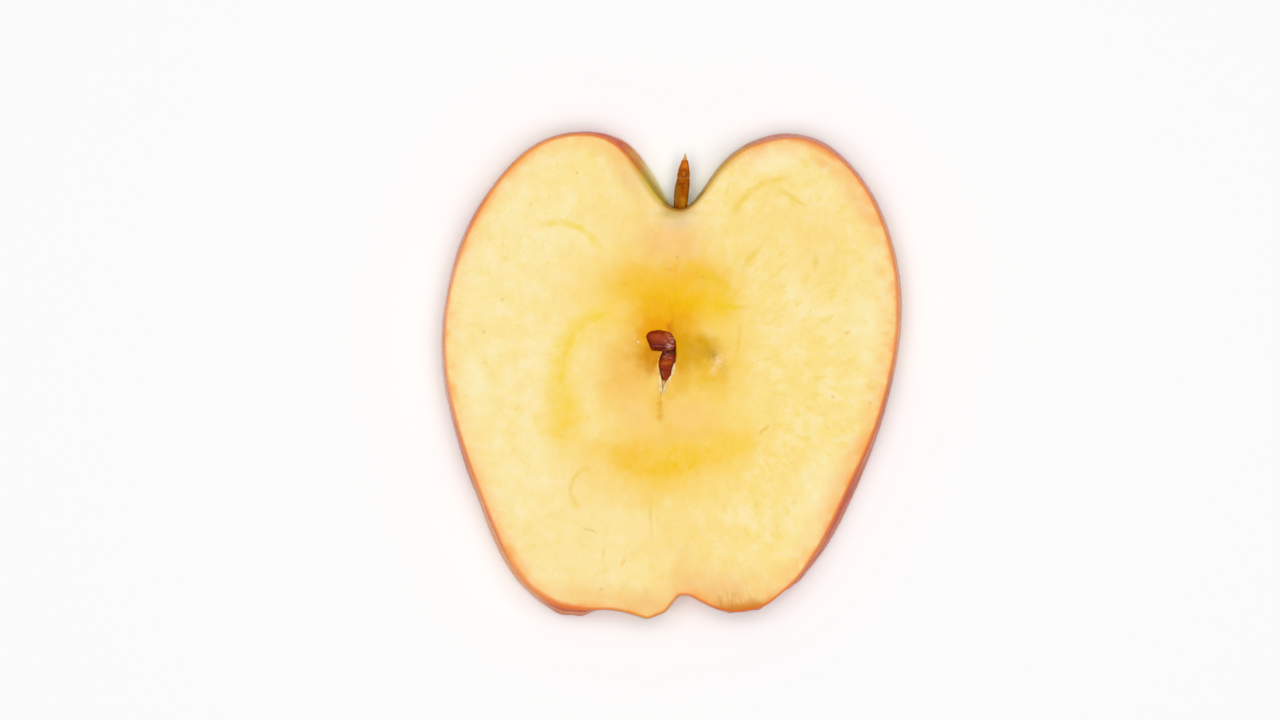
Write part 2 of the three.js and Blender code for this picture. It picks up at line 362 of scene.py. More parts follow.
fleshLook = {
    "pale": "#FBE7A8",
    "warm": "#FBDF88",
    "blotch": "#FBF0CA",
    # the seed cell's wall: amber at the lip, then painted shade darker with depth
    "cellRim": "#D08A10",
    "cellTone": "#A8620A",
    "cellDeep": "#6A3006",
    "dull": "#F6D280",
    "white": "#FDF3D2",
    "streak": "#F5D868",
    "vein": "#F4D668",
    "speck": "#E8B048",
    "torn": "#FADA9C",
    "bright": "#F6C40A",
    "cellWalls": [("#FFF0B8", 0.8, 0.0, 0.15), ("#F4E4C0", 1.7, 0.2, 0.1)],  # tone, scale, start, share
    "blush": "#FAC27A",
    "deepBlush": "#FAAE62",
    "stain": "#F8A84C",
    "fringe": "#CC9430",
    "browned": "#CC7A1C",
    "fibre": "#C88430",
    "glow": "#F68630",
    "pinched": "#EAC67A",
    "parting": "#9A7424",
    "zones": {  # at, size, turn, share of it that is even
        "notch": ((1.6, 31.0), (11.0, 9.5), 0, 0.6),
        "lowField": ((1.0, -13.4), (13.0, 4.4), 6, 0.2),
        "highField": ((3.0, 12.4), (10.0, 5.0), 0, 0.2),
        "overCell": ((7.3, 2.0), (1.5, 2.7), -12, 0.35),
        "browned": ((10.6, -37.7), (8.4, 2.3), 5, 0.35),
        "fibres": ((9.6, -36.2), (6.4, 3.4), 4, 0.1),
        "pinched": ((-1.45, -1.9), (0.9, 1.3), 10, 0.6),
        "parting": ((-1.52, -2.3), (1.5, 0.09), 79, 0.4),
    },
    "patches": [  # tone, at, size, turn, share of it that is even, share laid on
        # warmer and paler places of the ground
        ("#FBF0C4", (31, 8), (5, 12), 0, 0.08, 0.35),
        ("#FBEFC0", (-31.5, -1), (3.4, 9), 5, 0.08, 0.5),
        ("#FBF0C4", (16, 34), (6, 3.4), 8, 0.08, 0.7),
        ("#FBEFC0", (24, -19), (6, 9), -20, 0.08, 0.5),
        ("#FAD97C", (-13, 13.5), (8, 8), 0, 0.08, 0.6),
        ("#F9D67C", (-5.6, 21.5), (5.6, 11), 0, 0.08, 0.6),
        ("#FADA84", (14.5, 24), (6, 9), -25, 0.08, 0.5),
        ("#FAD884", (-12, -17), (9, 8), 0, 0.08, 0.55),
        ("#FAD986", (0, -26), (12, 9), 0, 0.08, 0.55),
        ("#F5C874", (-12, -34.8), (12, 3.6), -4, 0.08, 0.6),
        ("#F8C87C", (-24, -30.5), (5, 2.6), -42, 0.08, 0.35),
        ("#F9DA88", (-11, 26), (5, 5), 0, 0.08, 0.5),
        ("#FAD882", (23, 21), (8, 10), 10, 0.08, 0.6),
        ("#FADC90", (-17, -27), (12, 7), -20, 0.08, 0.4),
        ("#F6CE80", (1.6, -31), (2.6, 5.6), 0, 0.08, 0.6),
        # warm ground round the core, then the gold fields that lie in it
        ("#FAD468", (-0.6, 0.4), (17, 21), 0, 0.4, 0.8),
        ("#F9CA48", (0, 13.2), (14, 9), 0, 0.08, 0.9),
        ("#F6C230", (-5.6, 14), (6.6, 5), -8, 0.08, 0.8),
        ("#F4B82A", (3, 16), (8.4, 3.2), -6, 0.08, 0.65),
        ("#F4BE02", (1.6, 11.8), (8.4, 4.6), -4, 0.08, 0.9),
        ("#F2B402", (-2.4, 10.4), (5.4, 4.4), 0, 0.08, 0.75),
        ("#F6CA1C", (7.6, 11), (5.2, 3.2), -10, 0.08, 0.65),
        ("#F9CE50", (10.2, 3.5), (3.4, 9), 5, 0.08, 0.42),
        ("#F9CA40", (0.6, -13.6), (15, 6.6), 6, 0.08, 0.85),
        ("#F6C232", (-6.6, -13), (5.6, 4), -4, 0.08, 0.7),
        ("#F8CC48", (-2.4, -17), (6, 3), 4, 0.08, 0.45),
        ("#F5C41C", (-1, -14.4), (4.4, 3), 0, 0.08, 0.6),
        ("#F7CA38", (4.6, -12.8), (4, 3), 6, 0.08, 0.5),
        ("#F9CE3E", (10.4, -10.8), (5.2, 4), 20, 0.08, 0.65),
        ("#F5C462", (1, -9.4), (9, 1.8), 4, 0.08, 0.5),
        ("#F9D064", (-3.4, -19), (5, 3.6), 0, 0.08, 0.6),
        ("#F9D046", (-17, -7.4), (5, 7.4), 10, 0.08, 0.85),
        ("#F9D668", (-14.9, -0.6), (2.4, 4), 0, 0.08, 0.35),
        ("#F8CA48", (-12.4, -12), (4, 2.6), 35, 0.08, 0.5),
        # blushed flesh beside and under the seeds, and a painted shadow by the upper seed's left end
        ("#F5C05E", (-7.2, 0.6), (6, 8.5), 0, 0.2, 0.75),
        ("#F8CC78", (3, -6.4), (6, 3.8), 0, 0.2, 0.65),
        ("#F8CC80", (-5.4, -6.4), (4, 4.4), 0, 0.08, 0.6),
        # painted shadow by the upper seed's left end
        ("#E29E0A", (-4.4, 3.6), (3.4, 4.4), -10, 0.08, 0.8),
        # amber close to the seeds, partly painted shade beside the lower seed
        ("#EFAE04", (-0.6, 7.8), (7, 5.4), 0, 0.2, 0.9),
        ("#EEA200", (-1.6, 6.9), (4.6, 3), 0, 0.4, 0.9),
        # partly painted shade, right and left of the lower seed
        ("#DC9A00", (1.4, 3.4), (2.8, 5.6), 0, 0.3, 0.9),
        ("#D68C00", (-2.9, 2.9), (2.5, 3.2), 0, 0.35, 1.0),
        ("#EEB630", (1.2, -1.4), (2.8, 3.4), -30, 0.08, 0.55),
        ("#C86A08", (0.3, 7.6), (0.7, 0.9), 0, 0.08, 0.6),
        ("#D88A08", (0.5, 9), (0.4, 1.6), 4, 0.08, 0.4),
        ("#EEB020", (0.7, 15), (0.4, 5.4), 1, 0.08, 0.3),
        # the next cell, seen through a thin layer of flesh: painted shade over its hollow, with pale flecks
        ("#F3B62E", (-1.4, -4), (2.8, 5.4), 0, 0.08, 0.5),
        ("#F0BE30", (6, 0), (4.6, 4.4), 0, 0.2, 0.85),
        ("#DEA600", (4, 4), (4.7, 3.5), 0, 0.3, 0.85),
        ("#D09A08", (4.6, 4.2), (3.6, 1.8), -20, 0.08, 0.5),
        ("#B48C20", (6.3, 3.1), (1.8, 1.2), -40, 0.08, 0.5),
        ("#D8A848", (7.9, 1.2), (1, 1.6), 0, 0.08, 0.4),
        # greyish foot of the stem and the blushed flesh under it
        ("#F6C478", (0, 21.6), (8, 6.4), 0, 0.05, 0.65),
        ("#F4B868", (2.6, 20.4), (2.4, 3.2), -20, 0.08, 0.35),
        ("#F5BA66", (-2.8, 20.6), (2.8, 2.2), 30, 0.08, 0.35),
        ("#E6CCA2", (1.3, 24), (3.2, 1.8), 0, 0.1, 0.7),
        ("#C4A45C", (0.8, 25.8), (4.2, 1.2), 0, 0.1, 0.65),
        ("#F0C27A", (-6.6, 31), (2.4, 5.6), 35, 0.08, 0.55),
        ("#F0C072", (-3.4, -36.6), (6.6, 3), 0, 0.1, 0.7),
        ("#F3C478", (4, -33.4), (6, 4), 0, 0.08, 0.45),
        ("#F4C26C", (5, -35.2), (5, 3), 0, 0.08, 0.6),
        ("#F6C684", (9, -33.6), (10, 4), 4, 0.08, 0.6),
        ("#CC8024", (10.8, -37.8), (7.6, 2.8), 5, 0.35, 0.9),
        ("#D88E1C", (11.4, -36), (2, 0.8), 8, 0.08, 0.6),
        ("#F6C27A", (28, -17), (3, 11), -22, 0.08, 0.55),
        ("#F2A050", (24.5, 33.2), (4, 1.4), -28, 0.08, 0.4),
        ("#F6B86C", (30.2, 26.6), (6.6, 2), -54, 0.08, 0.45),
        ("#F8C878", (29.5, -13.5), (2.6, 7), -16, 0.08, 0.4),
        ("#F6C060", (-9, 35), (6, 2), -25, 0.08, 0.4),
    ],
    "rimStains": [  # along the skin: tone, at, size, turn, share, depth
        ("#F9A648", (-24, 33.6), (7, 3), 32, 0.7, 2),
        ("#F8A040", (-30.2, 26.2), (6, 3), 50, 0.65, 1.8),
        ("#EE903A", (22.4, 35.8), (6.5, 3), -30, 0.65, 1.4),
        ("#EEA850", (11, 34), (4.8, 3), 42, 0.5, 1.6),
        ("#F8B468", (-29.8, -18), (8, 4), -64, 0.45, 2.6),
        ("#F6A858", (-25.8, -28), (8, 4), -55, 0.5, 2.6),
        ("#EC741C", (-22.4, -32.4), (7, 3), -48, 0.7, 0.9),
        ("#E66A18", (-17, -36.6), (6.5, 3), -20, 0.8, 1.1),
        ("#D88A30", (13, -35.8), (6, 3), 8, 0.5, 1.4),
    ],
    "arcs": [  # tone, middle, radius, towards, reach to each side, width, share
        ("#F9D652", (-7.3, 0.1), 10.3, 160, 76, 3.2, 0.74),
        ("#F5D034", (-7.3, 0.1), 10.2, 156, 66, 0.9, 0.5),
        ("#F6D85A", (-17.9, 17.2), 7.0, 72, 56, 0.9, 0.75),
        ("#F3CE50", (19.0, 21.0), 10.3, 124, 38, 0.85, 0.65),
        ("#F2D066", (-12.6, -18.0), 3.3, 166, 90, 0.6, 0.6),
        ("#F2C818", (-1.0, 4.2), 13.6, 58, 26, 1.6, 0.5),
    ],
    "strokes": [  # as the patches
        ("#F2CE58", (19.3, 28), (3.2, 0.6), -32, 0.2, 0.7),
        ("#F3CE58", (12.8, 18.8), (3.4, 0.8), 50, 0.2, 0.7),
        ("#F0CA5C", (22.8, 17.8), (1.6, 0.5), 90, 0.2, 0.6),
        ("#E2BA48", (-12.9, -24.4), (1.8, 0.28), -14, 0.2, 0.5),
        ("#F0C458", (-7.6, -29.5), (1.2, 0.35), 70, 0.2, 0.5),
        ("#F2CC64", (-10.7, -28.1), (1.6, 0.35), 85, 0.2, 0.45),
        ("#F0CE70", (-3.2, -22.4), (4.2, 0.32), 94, 0.2, 0.6),
        ("#F2CC10", (9.4, 10.8), (3.6, 0.6), -2, 0.2, 0.6),
        ("#F0C23C", (10.6, 5.4), (0.5, 4.2), -8, 0.2, 0.4),
        ("#ECC23C", (14.6, -8.6), (1.5, 0.32), 45, 0.2, 0.7),
        ("#E8AE3A", (-1.8, -5.2), (2.8, 0.6), 92, 0.2, 0.65),
        ("#E0A43A", (-1.75, -4.5), (1, 0.3), 82, 0.2, 0.4),
        ("#E2A422", (-1.8, -6.6), (0.8, 0.7), 0, 0.2, 0.45),
        ("#FFF2D4", (-5.2, 5.4), (0.3, 0.22), 0, 0.2, 0.9),
        ("#FCE8B8", (-5.8, 5.8), (0.3, 0.14), 20, 0.2, 0.7),
        ("#FCE8B8", (-5.5, 6.3), (0.14, 0.2), 0, 0.2, 0.5),
        ("#FAD79C", (7.3, 2.4), (0.7, 1.3), -20, 0.2, 0.7),
        ("#FAD79C", (6.6, 0.9), (0.5, 1), -25, 0.2, 0.5),
    ],
    "specks": [
        (-14.9, 32), (-26.7, 11.9), (-29.7, 6.9), (27.8, 6.7), (25.6, -3.4), (31.4, -4.4),
        (5, 15.5), (-0.2, 16.7), (3.1, 12.1), (-7.1, 14.5), (1, 18.6), (-11, -33.7),
    ],
}


def groundOfFlesh(tree, here, frayed, x):  # pale, warmer on the right, with blotches and watery veins
    look = fleshLook
    lobes = ramp(tree, cloud(tree, here, 0.075, 3), 0.35, 0.68, -0.15, 0.45)
    warmth = calc(tree, "ADD", ramp(tree, x, -22.0, 10.0, 0.05, 0.5), lobes)
    blotches = mottled(tree, here, 0.34, 0.3)
    grain = useGroup(tree, radialGrain, {"Vector": frayed, "Fineness": 22.0, "Run": 0.4})
    streak = times(tree, ramp(tree, grain, 0.54, 0.7), ramp(tree, x, -6.0, 16.0, 0.3, 1.0))
    veins = calc(tree, "ABSOLUTE", calc(tree, "SUBTRACT", cloud(tree, frayed, 0.32, 2), 0.5))
    broken = ramp(tree, cloud(tree, here, 0.5, 2), 0.5, 0.64)
    return layTones(
        tree,
        look["pale"],
        (look["warm"], warmth),
        (look["blotch"], ramp(tree, blotches, -0.2, 1.0, 0.0, 0.4)),
        (look["dull"], ramp(tree, blotches, -0.2, -1.0, 0.0, 0.25)),
        (look["white"], ramp(tree, mottled(tree, here, 1.0, 0.2), 0.1, 1.0, 0.0, 0.14)),
        (look["streak"], times(tree, streak, 0.6)),
        (look["vein"], times(tree, ramp(tree, veins, 0.0, 0.022, 1.0, 0.0), broken, 0.5)),
    )


def marksOfFlesh(tree, colour, here, bent, frayed):  # curls, strokes, specks and flecks of the upper face
    look = fleshLook
    breaks = ramp(tree, cloud(tree, here, 0.6, 2), 0.34, 0.56, 0.6, 1.0)
    for hexTone, at, radius, towards, reach, width, share in look["arcs"]:
        shape = {"Radius": radius, "Reach": math.radians(reach), "Width": width}
        mask = useGroup(tree, arcStroke, {"Vector": frayed, **shape, **turned(at, (1, 1), towards)})
        colour = layTone(tree, colour, hexTone, times(tree, mask, breaks, share))
    colour = layPatches(tree, colour, frayed, look["strokes"])
    specks = [(look["speck"], at, (0.42, 0.34), 0, 0.2, 0.55) for at in look["specks"]]
    colour = layPatches(tree, colour, frayed, specks)
    torn = ramp(tree, cloud(tree, here, 1.5, 3, distortion=1.0), 0.46, 0.62)
    overCell = patchMask(tree, here, *look["zones"]["overCell"])
    colour = layTone(tree, colour, look["torn"], times(tree, torn, overCell, 0.5))
    lowField = patchMask(tree, bent, *look["zones"]["lowField"])
    highField = patchMask(tree, bent, *look["zones"]["highField"])
    bright = ramp(tree, cloud(tree, here, 1.5, 3, stretch=(1.0, 0.5, 1.0)), 0.5, 0.66)
    inFields = times(tree, calc(tree, "MAXIMUM", lowField, highField), bright)
    return layTone(tree, colour, look["bright"], times(tree, inFields, 0.6))


def rimOfFlesh(tree, colour, here, frayed, x):  # blush inside the skin, brown fibres, the skin's own cut edge
    look = fleshLook
    rim = add(tree, "Attribute", attribute_name="rimDistance").outputs["Fac"]
    inNotch = patchMask(tree, here, *look["zones"]["notch"])
    clear = calc(tree, "SUBTRACT", 1.0, times(tree, inNotch, 0.9))
    uneven = ramp(tree, cloud(tree, here, 0.4, 3), 0.3, 0.68, 0.25, 1.0)
    uneven = times(tree, uneven, clear, ramp(tree, x, -30.0, 32.0, 0.5, 1.2))
    stained = times(tree, ramp(tree, cloud(tree, here, 0.16, 2), 0.54, 0.66), clear)
    colour = layTones(
        tree,
        colour,
        (look["blush"], times(tree, ramp(tree, rim, 0.2, 4.4, 0.75, 0.0), uneven)),
        (look["deepBlush"], times(tree, ramp(tree, rim, 0.1, 1.3, 0.65, 0.0), uneven)),
        (look["stain"], times(tree, ramp(tree, rim, 0.2, 2.0, 0.6, 0.0), stained)),
    )
    for hexTone, at, size, turn, share, depth in look["rimStains"]:
        mask = patchMask(tree, frayed, at, size, turn, 0.2)
        colour = layTone(tree, colour, hexTone, times(tree, mask, ramp(tree, rim, 0.1, depth, share, 0.0)))
    browned = patchMask(tree, frayed, *look["zones"]["browned"])
    fibres = useGroup(tree, radialGrain, {"Vector": here, "Fineness": 52.0, "Run": 0.4})
    fibreZone = patchMask(tree, here, *look["zones"]["fibres"])
    skin = layTone(tree, useGroup(tree, skinColour, {"Vector": here}), look["glow"], times(tree, clear, 0.5))
    return layTones(
        tree,
        colour,
        (look["fringe"], times(tree, ramp(tree, rim, 0.1, 1.2, 0.65, 0.0), inNotch)),
        (look["browned"], times(tree, browned, ramp(tree, rim, 0.1, 2.6, 0.8, 0.0))),
        (look["fibre"], times(tree, ramp(tree, fibres, 0.36, 0.7), fibreZone, 0.5)),
        (skin, ramp(tree, rim, 0.06, 0.5, 0.9, 0.0)),
    )


def cellOfFlesh(tree, colour, here, upper):  # inside of the seed cell, amber at its lip with painted shade growing darker deeper down, and its closed tip
    look = fleshLook
    hollow = add(tree, "Attribute", attribute_name="hollow").outputs["Fac"]
    wallAndShade = layTone(tree, look["cellRim"], look["cellTone"], ramp(tree, hollow, 0.08, 0.3))
    wallAndShade = layTone(tree, wallAndShade, look["cellDeep"], ramp(tree, hollow, 0.3, 0.9))
    colour = layTone(tree, colour, wallAndShade, ramp(tree, hollow, 0.0, 0.05))
    pinched = patchMask(tree, here, *look["zones"]["pinched"])
    colour = layTone(tree, colour, look["pinched"], times(tree, pinched, upper))
    parting = patchMask(tree, here, *look["zones"]["parting"])
    return layTone(tree, colour, look["parting"], times(tree, parting, 0.8, upper))


def makeFlesh():
    material, tree, shader = newMaterial("moistFlesh")
    here = millimetres(tree)
    bent = stirred(tree, here, 0.3, 3, 3.4)
    frayed = stirred(tree, here, 1.5, 3, 0.9)
    x, _, z = add(tree, "SeparateXYZ", {0: here}).outputs
    drift = ramp(tree, cloud(tree, here, 0.42, 3), 0.32, 0.62, 0.84, 1.1)
    plain = layPatches(tree, groundOfFlesh(tree, here, frayed, x), bent, fleshLook["patches"], drift)
    upper = ramp(tree, z, 1.5, 4.0)
    colour = layTone(tree, plain, marksOfFlesh(tree, plain, here, bent, frayed), upper)
    for walls, scale, start, share in fleshLook["cellWalls"]:  # small cells over it all
        mask = ramp(tree, mottled(tree, here, scale, 0.2), start, 1.0, 0.0, share)
        colour = layTone(tree, colour, walls, mask, "MULTIPLY")
    colour = rimOfFlesh(tree, colour, here, frayed, x)
    colour = cellOfFlesh(tree, colour, here, upper)
    gloss = ramp(tree, cloud(tree, here, 0.8, 3), 0.3, 0.7, 0.26, 0.42)
    finishSurface(tree, shader, colour, gloss, 0.04)
    pores = calc(tree, "ADD", mottled(tree, here, 2.2, 0.1), times(tree, mottled(tree, here, 5.0, 0.0), 0.5))
    roughen(tree, shader, pores, 0.16, 0.06)
    letLightIn(shader, 0.1, (1.6, 0.9, 0.4))
    return material


skinLook = {
    "streaks": "#CC4028",
    "ground": "#F6BC78",
    "dots": "#F0D4AC",
    "edge": "#EC7A30",
    "lines": "#F4C088",
    "browned": "#9C7010",
    "topped": "#D8A43C",
    "paled": "#F0E48C",
    "notch": ((1.6, 29.6), (9.0, 7.4), 0, 0.6),  # at, size, turn, share of it that is even
}


def makeSkin():
    material, tree, shader = newMaterial("waxySkin")
    look = skinLook
    here = millimetres(tree)
    x, _, z = add(tree, "SeparateXYZ", {0: here}).outputs
    long = cloud(tree, here, 1.0, 2, stretch=(0.1, 0.1, 0.85))
    fine = cloud(tree, here, 1.0, 2, stretch=(0.2, 0.2, 2.4))
    inNotch = patchMask(tree, here, *look["notch"])
    red = calc(tree, "SUBTRACT", 1.0, inNotch)
    dots = add(tree, "TexVoronoi", {"Vector": here, "Scale": 0.55, "Randomness": 1.0}, feature="F1")
    dot = ramp(tree, dots.outputs["Distance"], 0.09, 0.05)
    colour = layTones(
        tree,
        useGroup(tree, skinColour, {"Vector": here}),
        (look["ground"], ramp(tree, long, 0.46, 0.72, 0.0, 0.5)),
        (look["streaks"], times(tree, ramp(tree, long, 0.52, 0.3, 0.0, 0.5), red)),
        (look["streaks"], times(tree, ramp(tree, fine, 0.48, 0.7, 0.0, 0.4), red)),
        (look["dots"], times(tree, dot, 0.7)),
        (look["edge"], times(tree, ramp(tree, z, 4.9, 5.4, 0.0, 0.7), red)),
    )

    # the stem hollow: pale lines along it, browned near the top and pale yellow low down
    beside = add(tree, "CombineXYZ", {0: times(tree, x, 0.12), 1: 0.0, 2: z}).outputs[0]
    lines = times(tree, ramp(tree, cloud(tree, beside, 1.3, 2), 0.52, 0.64), inNotch)
    band = times(tree, ramp(tree, z, 3.4, 4.5, 0.0, 0.5), ramp(tree, z, 5.4, 5.0))
    colour = layTones(
        tree,
        colour,
        (look["lines"], times(tree, lines, 0.55)),
        (look["browned"], times(tree, band, inNotch)),
        (look["topped"], times(tree, ramp(tree, z, 4.8, 5.2, 0.0, 0.6), inNotch)),
        (look["paled"], times(tree, ramp(tree, z, 3.8, 2.0, 0.0, 0.85), inNotch)),
    )

    gloss = ramp(tree, cloud(tree, here, 0.7, 2), 0.3, 0.7, 0.24, 0.4)
    finishSurface(tree, shader, colour, gloss, 0.08)
    roughen(tree, shader, calc(tree, "ADD", cloud(tree, here, 0.9, 2), times(tree, dot, 0.3)), 0.2, 0.12)
    letLightIn(shader, 0.25, (1.8, 0.8, 0.4))
    return material


sliceShape = {
    "samples": 2880,  # of each outline
    "columns": 640,
    "footHeight": 0.35,  # where the foot's outline is taken
    "tuck": 0.2,  # rounding under the foot
    "nudges": [  # heading from the cell, spread in degrees, push of the cut edge and of the foot
        (10, 38, 0, 0.2), (52, 4, 0, 0.14), (64, 6, -0.35, 0.12), (68, 3, 0, 0.02),
        (87, 6, 0.2, 0.2), (99, 4, 0, 0.45), (152, 10, 0, 0.1), (188, 5, 0, 0.12),
        (219, 4, 0, -0.2), (248, 4.5, 0.1, 0.6), (256, 3, 0, -0.22), (296, 6, 0, -0.58),
        (324, 14, 0, 0.24), (284, 0.7, 0, 0.15), (290.1, 0.7, 0, 0.28), (297.7, 0.8, 0, 0.25),
    ],
    "gapToSeed": 0.03,
    "cell": [  # height up the face, left edge and right edge of the pointed cell
        (-2.6, -1.54, -1.48), (-1.6, -1.7, -1.14), (-0.6, -1.64, -0.36),
        (0.4, -1.8, 0.18), (1.3, -1.99, 0.46), (2.1, -1.98, 0.76),
        (2.9, -1.78, 0.9), (3.6, -1.46, 0.92), (4.6, -1.2, 0.86),
        (5.6, -0.8, 0.7), (6, -0.2, 0.1),
    ],
    "cellDepth": 3.9,
    "seedRoom": 0.12,  # under the upper seed
    "lipDrop": 0.1,
    "cellRings": 16,
    "fineStep": 0.07,  # first ring inside the skin, and outside the cell
    "growth": 1.32,
    "fineReach": 3.0,
    "middleRings": 36,
    "sideRings": 14,
    "underRings": 22,
    "skinProud": 0.07,
    "fleshSag": 0.1,
    "faceWaves": [(0.07, 9.0, 2, 3.0), (0.03, 1.7, 3, 8.0)],  # depth, scale, octaves and seed
    "knifeMarks": [(0.018, 1.1, 3, 21.0)],
    "skinWaves": [(0.05, 6.0, 2, 12.0), (0.02, 1.6, 3, 17.0)],
    "underWaves": [(0.02, 2.2, 3, 30.0)],
    "nextCell": {"at": (5.0, 3.2), "size": (2.8, 4.1), "depth": 0.42},
    "tornFlecks": {"at": (6.9, 2.0), "size": (1.2, 1.9), "height": 0.5},
}


def cadTree(node):  # a welded copy of a CAD node, in millimetres, to measure with rays
    copy = bmesh.new()
    copy.from_mesh(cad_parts[node].data)
    bmesh.ops.remove_doubles(copy, verts=copy.verts, dist=1e-7)
    bmesh.ops.scale(copy, vec=(1 / mm, 1 / mm, 1 / mm), verts=copy.verts)
    tree = BVHTree.FromBMesh(copy)
    copy.free()
    return tree


def radiiAt(tree, centre, height, headings):  # from the centre out to the CAD surface
    radii = []
    for heading in headings:
        away = Vector((math.cos(heading), math.sin(heading), 0))
        start = Vector((*centre, height)) + away * 80
        hit = tree.ray_cast(start, -away)
        radii.append(80 - hit[3])
    return np.array(radii)


def circularSmooth(values, sigma):  # sigma in samples
    reach = int(sigma * 4)
    weights = np.exp(-0.5 * (np.arange(-reach, reach + 1) / sigma) ** 2)
    wrapped = np.concatenate([values[-reach:], values, values[:reach]])
    return np.convolve(wrapped, weights / weights.sum(), "valid")


def growingSteps(first, growth, reach):
    steps = [0.0]
    step = first
    while steps[-1] + step < reach:
        steps.append(steps[-1] + step)
        step *= growth
    return np.array(steps) * reach / steps[-1]


def ballLattice(name, columns, rings):
    ball = bmesh.new()
    bmesh.ops.create_uvsphere(ball, u_segments=columns, v_segments=rings, radius=1)
    mesh = bpy.data.meshes.new(name)
    ball.to_mesh(mesh)
    ball.free()
    places = np.zeros(len(mesh.vertices) * 3)
    mesh.vertices.foreach_get("co", places)
    places = places.reshape(-1, 3)
    ring = np.rint(np.arccos(np.clip(places[:, 2], -1, 1)) / math.pi * rings).astype(int)
    column = np.rint(np.arctan2(places[:, 1], places[:, 0]) / (2 * math.pi) * columns).astype(int) % columns
    column[(ring == 0) | (ring == rings)] = 0
    return mesh, ring, column, places


def floatAttribute(mesh, name, values):
    mesh.attributes.new(name, "FLOAT", "POINT").data.foreach_set("value", np.asarray(values, np.float32))


def finishPiece(mesh, name, materials, nodes=()):
    piece = bpy.data.objects.new(name, mesh)
    bpy.context.scene.collection.objects.link(piece)
    for material in materials:
        mesh.materials.append(material)
    for polygon in mesh.polygons:
        polygon.use_smooth = True
    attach(piece, "root")
    if nodes:
        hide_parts(*nodes)
    print(name, "made with", len(mesh.polygons), "faces")
    return piece


seedShapes = {
    "seed_across": {
        "plan": [  # the seed as it lies, anticlockwise from its blunt left end
            (-4.02, 6.2), (-3.84, 5.7), (-3.58, 5.05), (-3.3, 4.3), (-3.1, 3.98), (-2.36, 3.92),
            (-1.17, 3.9), (-0.2, 3.84), (0.5, 4.3), (0.6, 5), (0.4, 6), (0, 6.72),
            (-1.17, 7.02), (-2.56, 7.1), (-3.2, 7.02), (-3.72, 6.74),
        ],
        "along": 175,  # heading of its length
        "crumple": {"at": (0.0, 5.1), "reach": 1.1, "depth": 0.13},
        "grooves": 0.05,
        "edge": {"from": (-3.2, 4.72), "to": (-0.5, 4.6), "height": 0.1},  # a raised seam
        "fullness": 3.0,
    },
    "seed_upright": {
        "plan": [
            (-1.98, 2.28), (-2.1, 1.49), (-2.02, 0.94), (-1.66, -0.09), (-1.24, -0.62), (-0.8, -0.96),
            (-0.3, -0.8), (0.06, -0.09), (0.26, 0.7), (0.4, 1.49), (0.72, 2.12), (0.9, 2.7),
            (0.92, 3.86), (0.8, 4.6), (0.5, 5.3), (-0.1, 5.75), (-0.8, 5.3), (-1.1, 4.3),
            (-1.36, 3.5), (-1.74, 2.9),
        ],
        "along": 263,
        "crumple": {"at": (-0.6, 3.4), "reach": 0.9, "depth": 0.08},
        "grooves": 0.05,
        "edge": {"from": (-1.9, 1.5), "to": (0.3, 1.6), "height": 0.05},
        "fullness": 4.4,
    },
}
seedGrid = {"columns": 96, "rings": 48}


acrossLow, acrossHigh = boxInMm("seed_across")
uprightLow, uprightHigh = boxInMm("seed_upright")
acrossMiddle = (acrossLow + acrossHigh) / 2
uprightMiddle = (uprightLow + uprightHigh) / 2
cellCentre = (uprightMiddle[0] - 0.75, acrossMiddle[1] - 1.2)


def planRadii(plan, rounding):  # middle of a closed plan, and its reach at even headings from there
    plan = np.array(plan)
    middle = plan.mean(0)
    headings = np.arctan2(plan[:, 1] - middle[1], plan[:, 0] - middle[0])
    reach = np.hypot(plan[:, 0] - middle[0], plan[:, 1] - middle[1])
    order = np.argsort(headings)
    fine = np.linspace(-math.pi, math.pi, 720, endpoint=False)
    even = np.interp(fine, headings[order], reach[order], period=2 * math.pi)
    return middle, fine, circularSmooth(even, rounding)


bedMiddle, bedHeadings, bedRadii = planRadii(seedShapes["seed_across"]["plan"], 6.0)


def bedReach(x, y):  # 1 on the edge of the upper seed's bed, less inside
    dx, dy = x - bedMiddle[0], y - bedMiddle[1]
    edge = np.interp(np.arctan2(dy, dx), bedHeadings, bedRadii, period=2 * math.pi)
    return np.hypot(dx, dy) / (edge + sliceShape["gapToSeed"])


def cellReach(x, y):  # 1 on the edge of the pointed cell, less inside
    stops = np.array(sliceShape["cell"])
    left = np.interp(y, stops[:, 0], stops[:, 1])
    right = np.interp(y, stops[:, 0], stops[:, 2])
    outside = np.where((y > stops[-1, 0]) | (y < stops[0, 0]), 9.0, 0.0)
    return np.abs(x - (left + right) / 2) / ((right - left) / 2) + outside


def hollowReach(x, y):  # 1 on the lip of the bed and the cell together, less inside
    sharp = 14.0
    parts = [np.exp(-sharp * np.minimum(reach(x, y), 5)) for reach in (bedReach, cellReach)]
    return -np.log(parts[0] + parts[1]) / sharp


def lipRadii(headings):  # from the middle of the cell out to its lip
    low, high = np.zeros(len(headings)), np.full(len(headings), 9.0)
    for _ in range(36):
        half = (low + high) / 2
        x = cellCentre[0] + half * np.cos(headings)
        y = cellCentre[1] + half * np.sin(headings)
        inside = hollowReach(x, y) < 1
        low, high = np.where(inside, half, low), np.where(inside, high, half)
    return low


def awayFrom(headings, radii, x, y):  # distance from an outline about the cell
    edge = KDTree(len(headings))
    for i, (r, t) in enumerate(zip(radii, headings)):
        edge.insert((cellCentre[0] + r * math.cos(t), cellCentre[1] + r * math.sin(t), 0), i)
    edge.balance()
    return np.array([edge.find((px, py, 0))[2] for px, py in zip(x, y)])


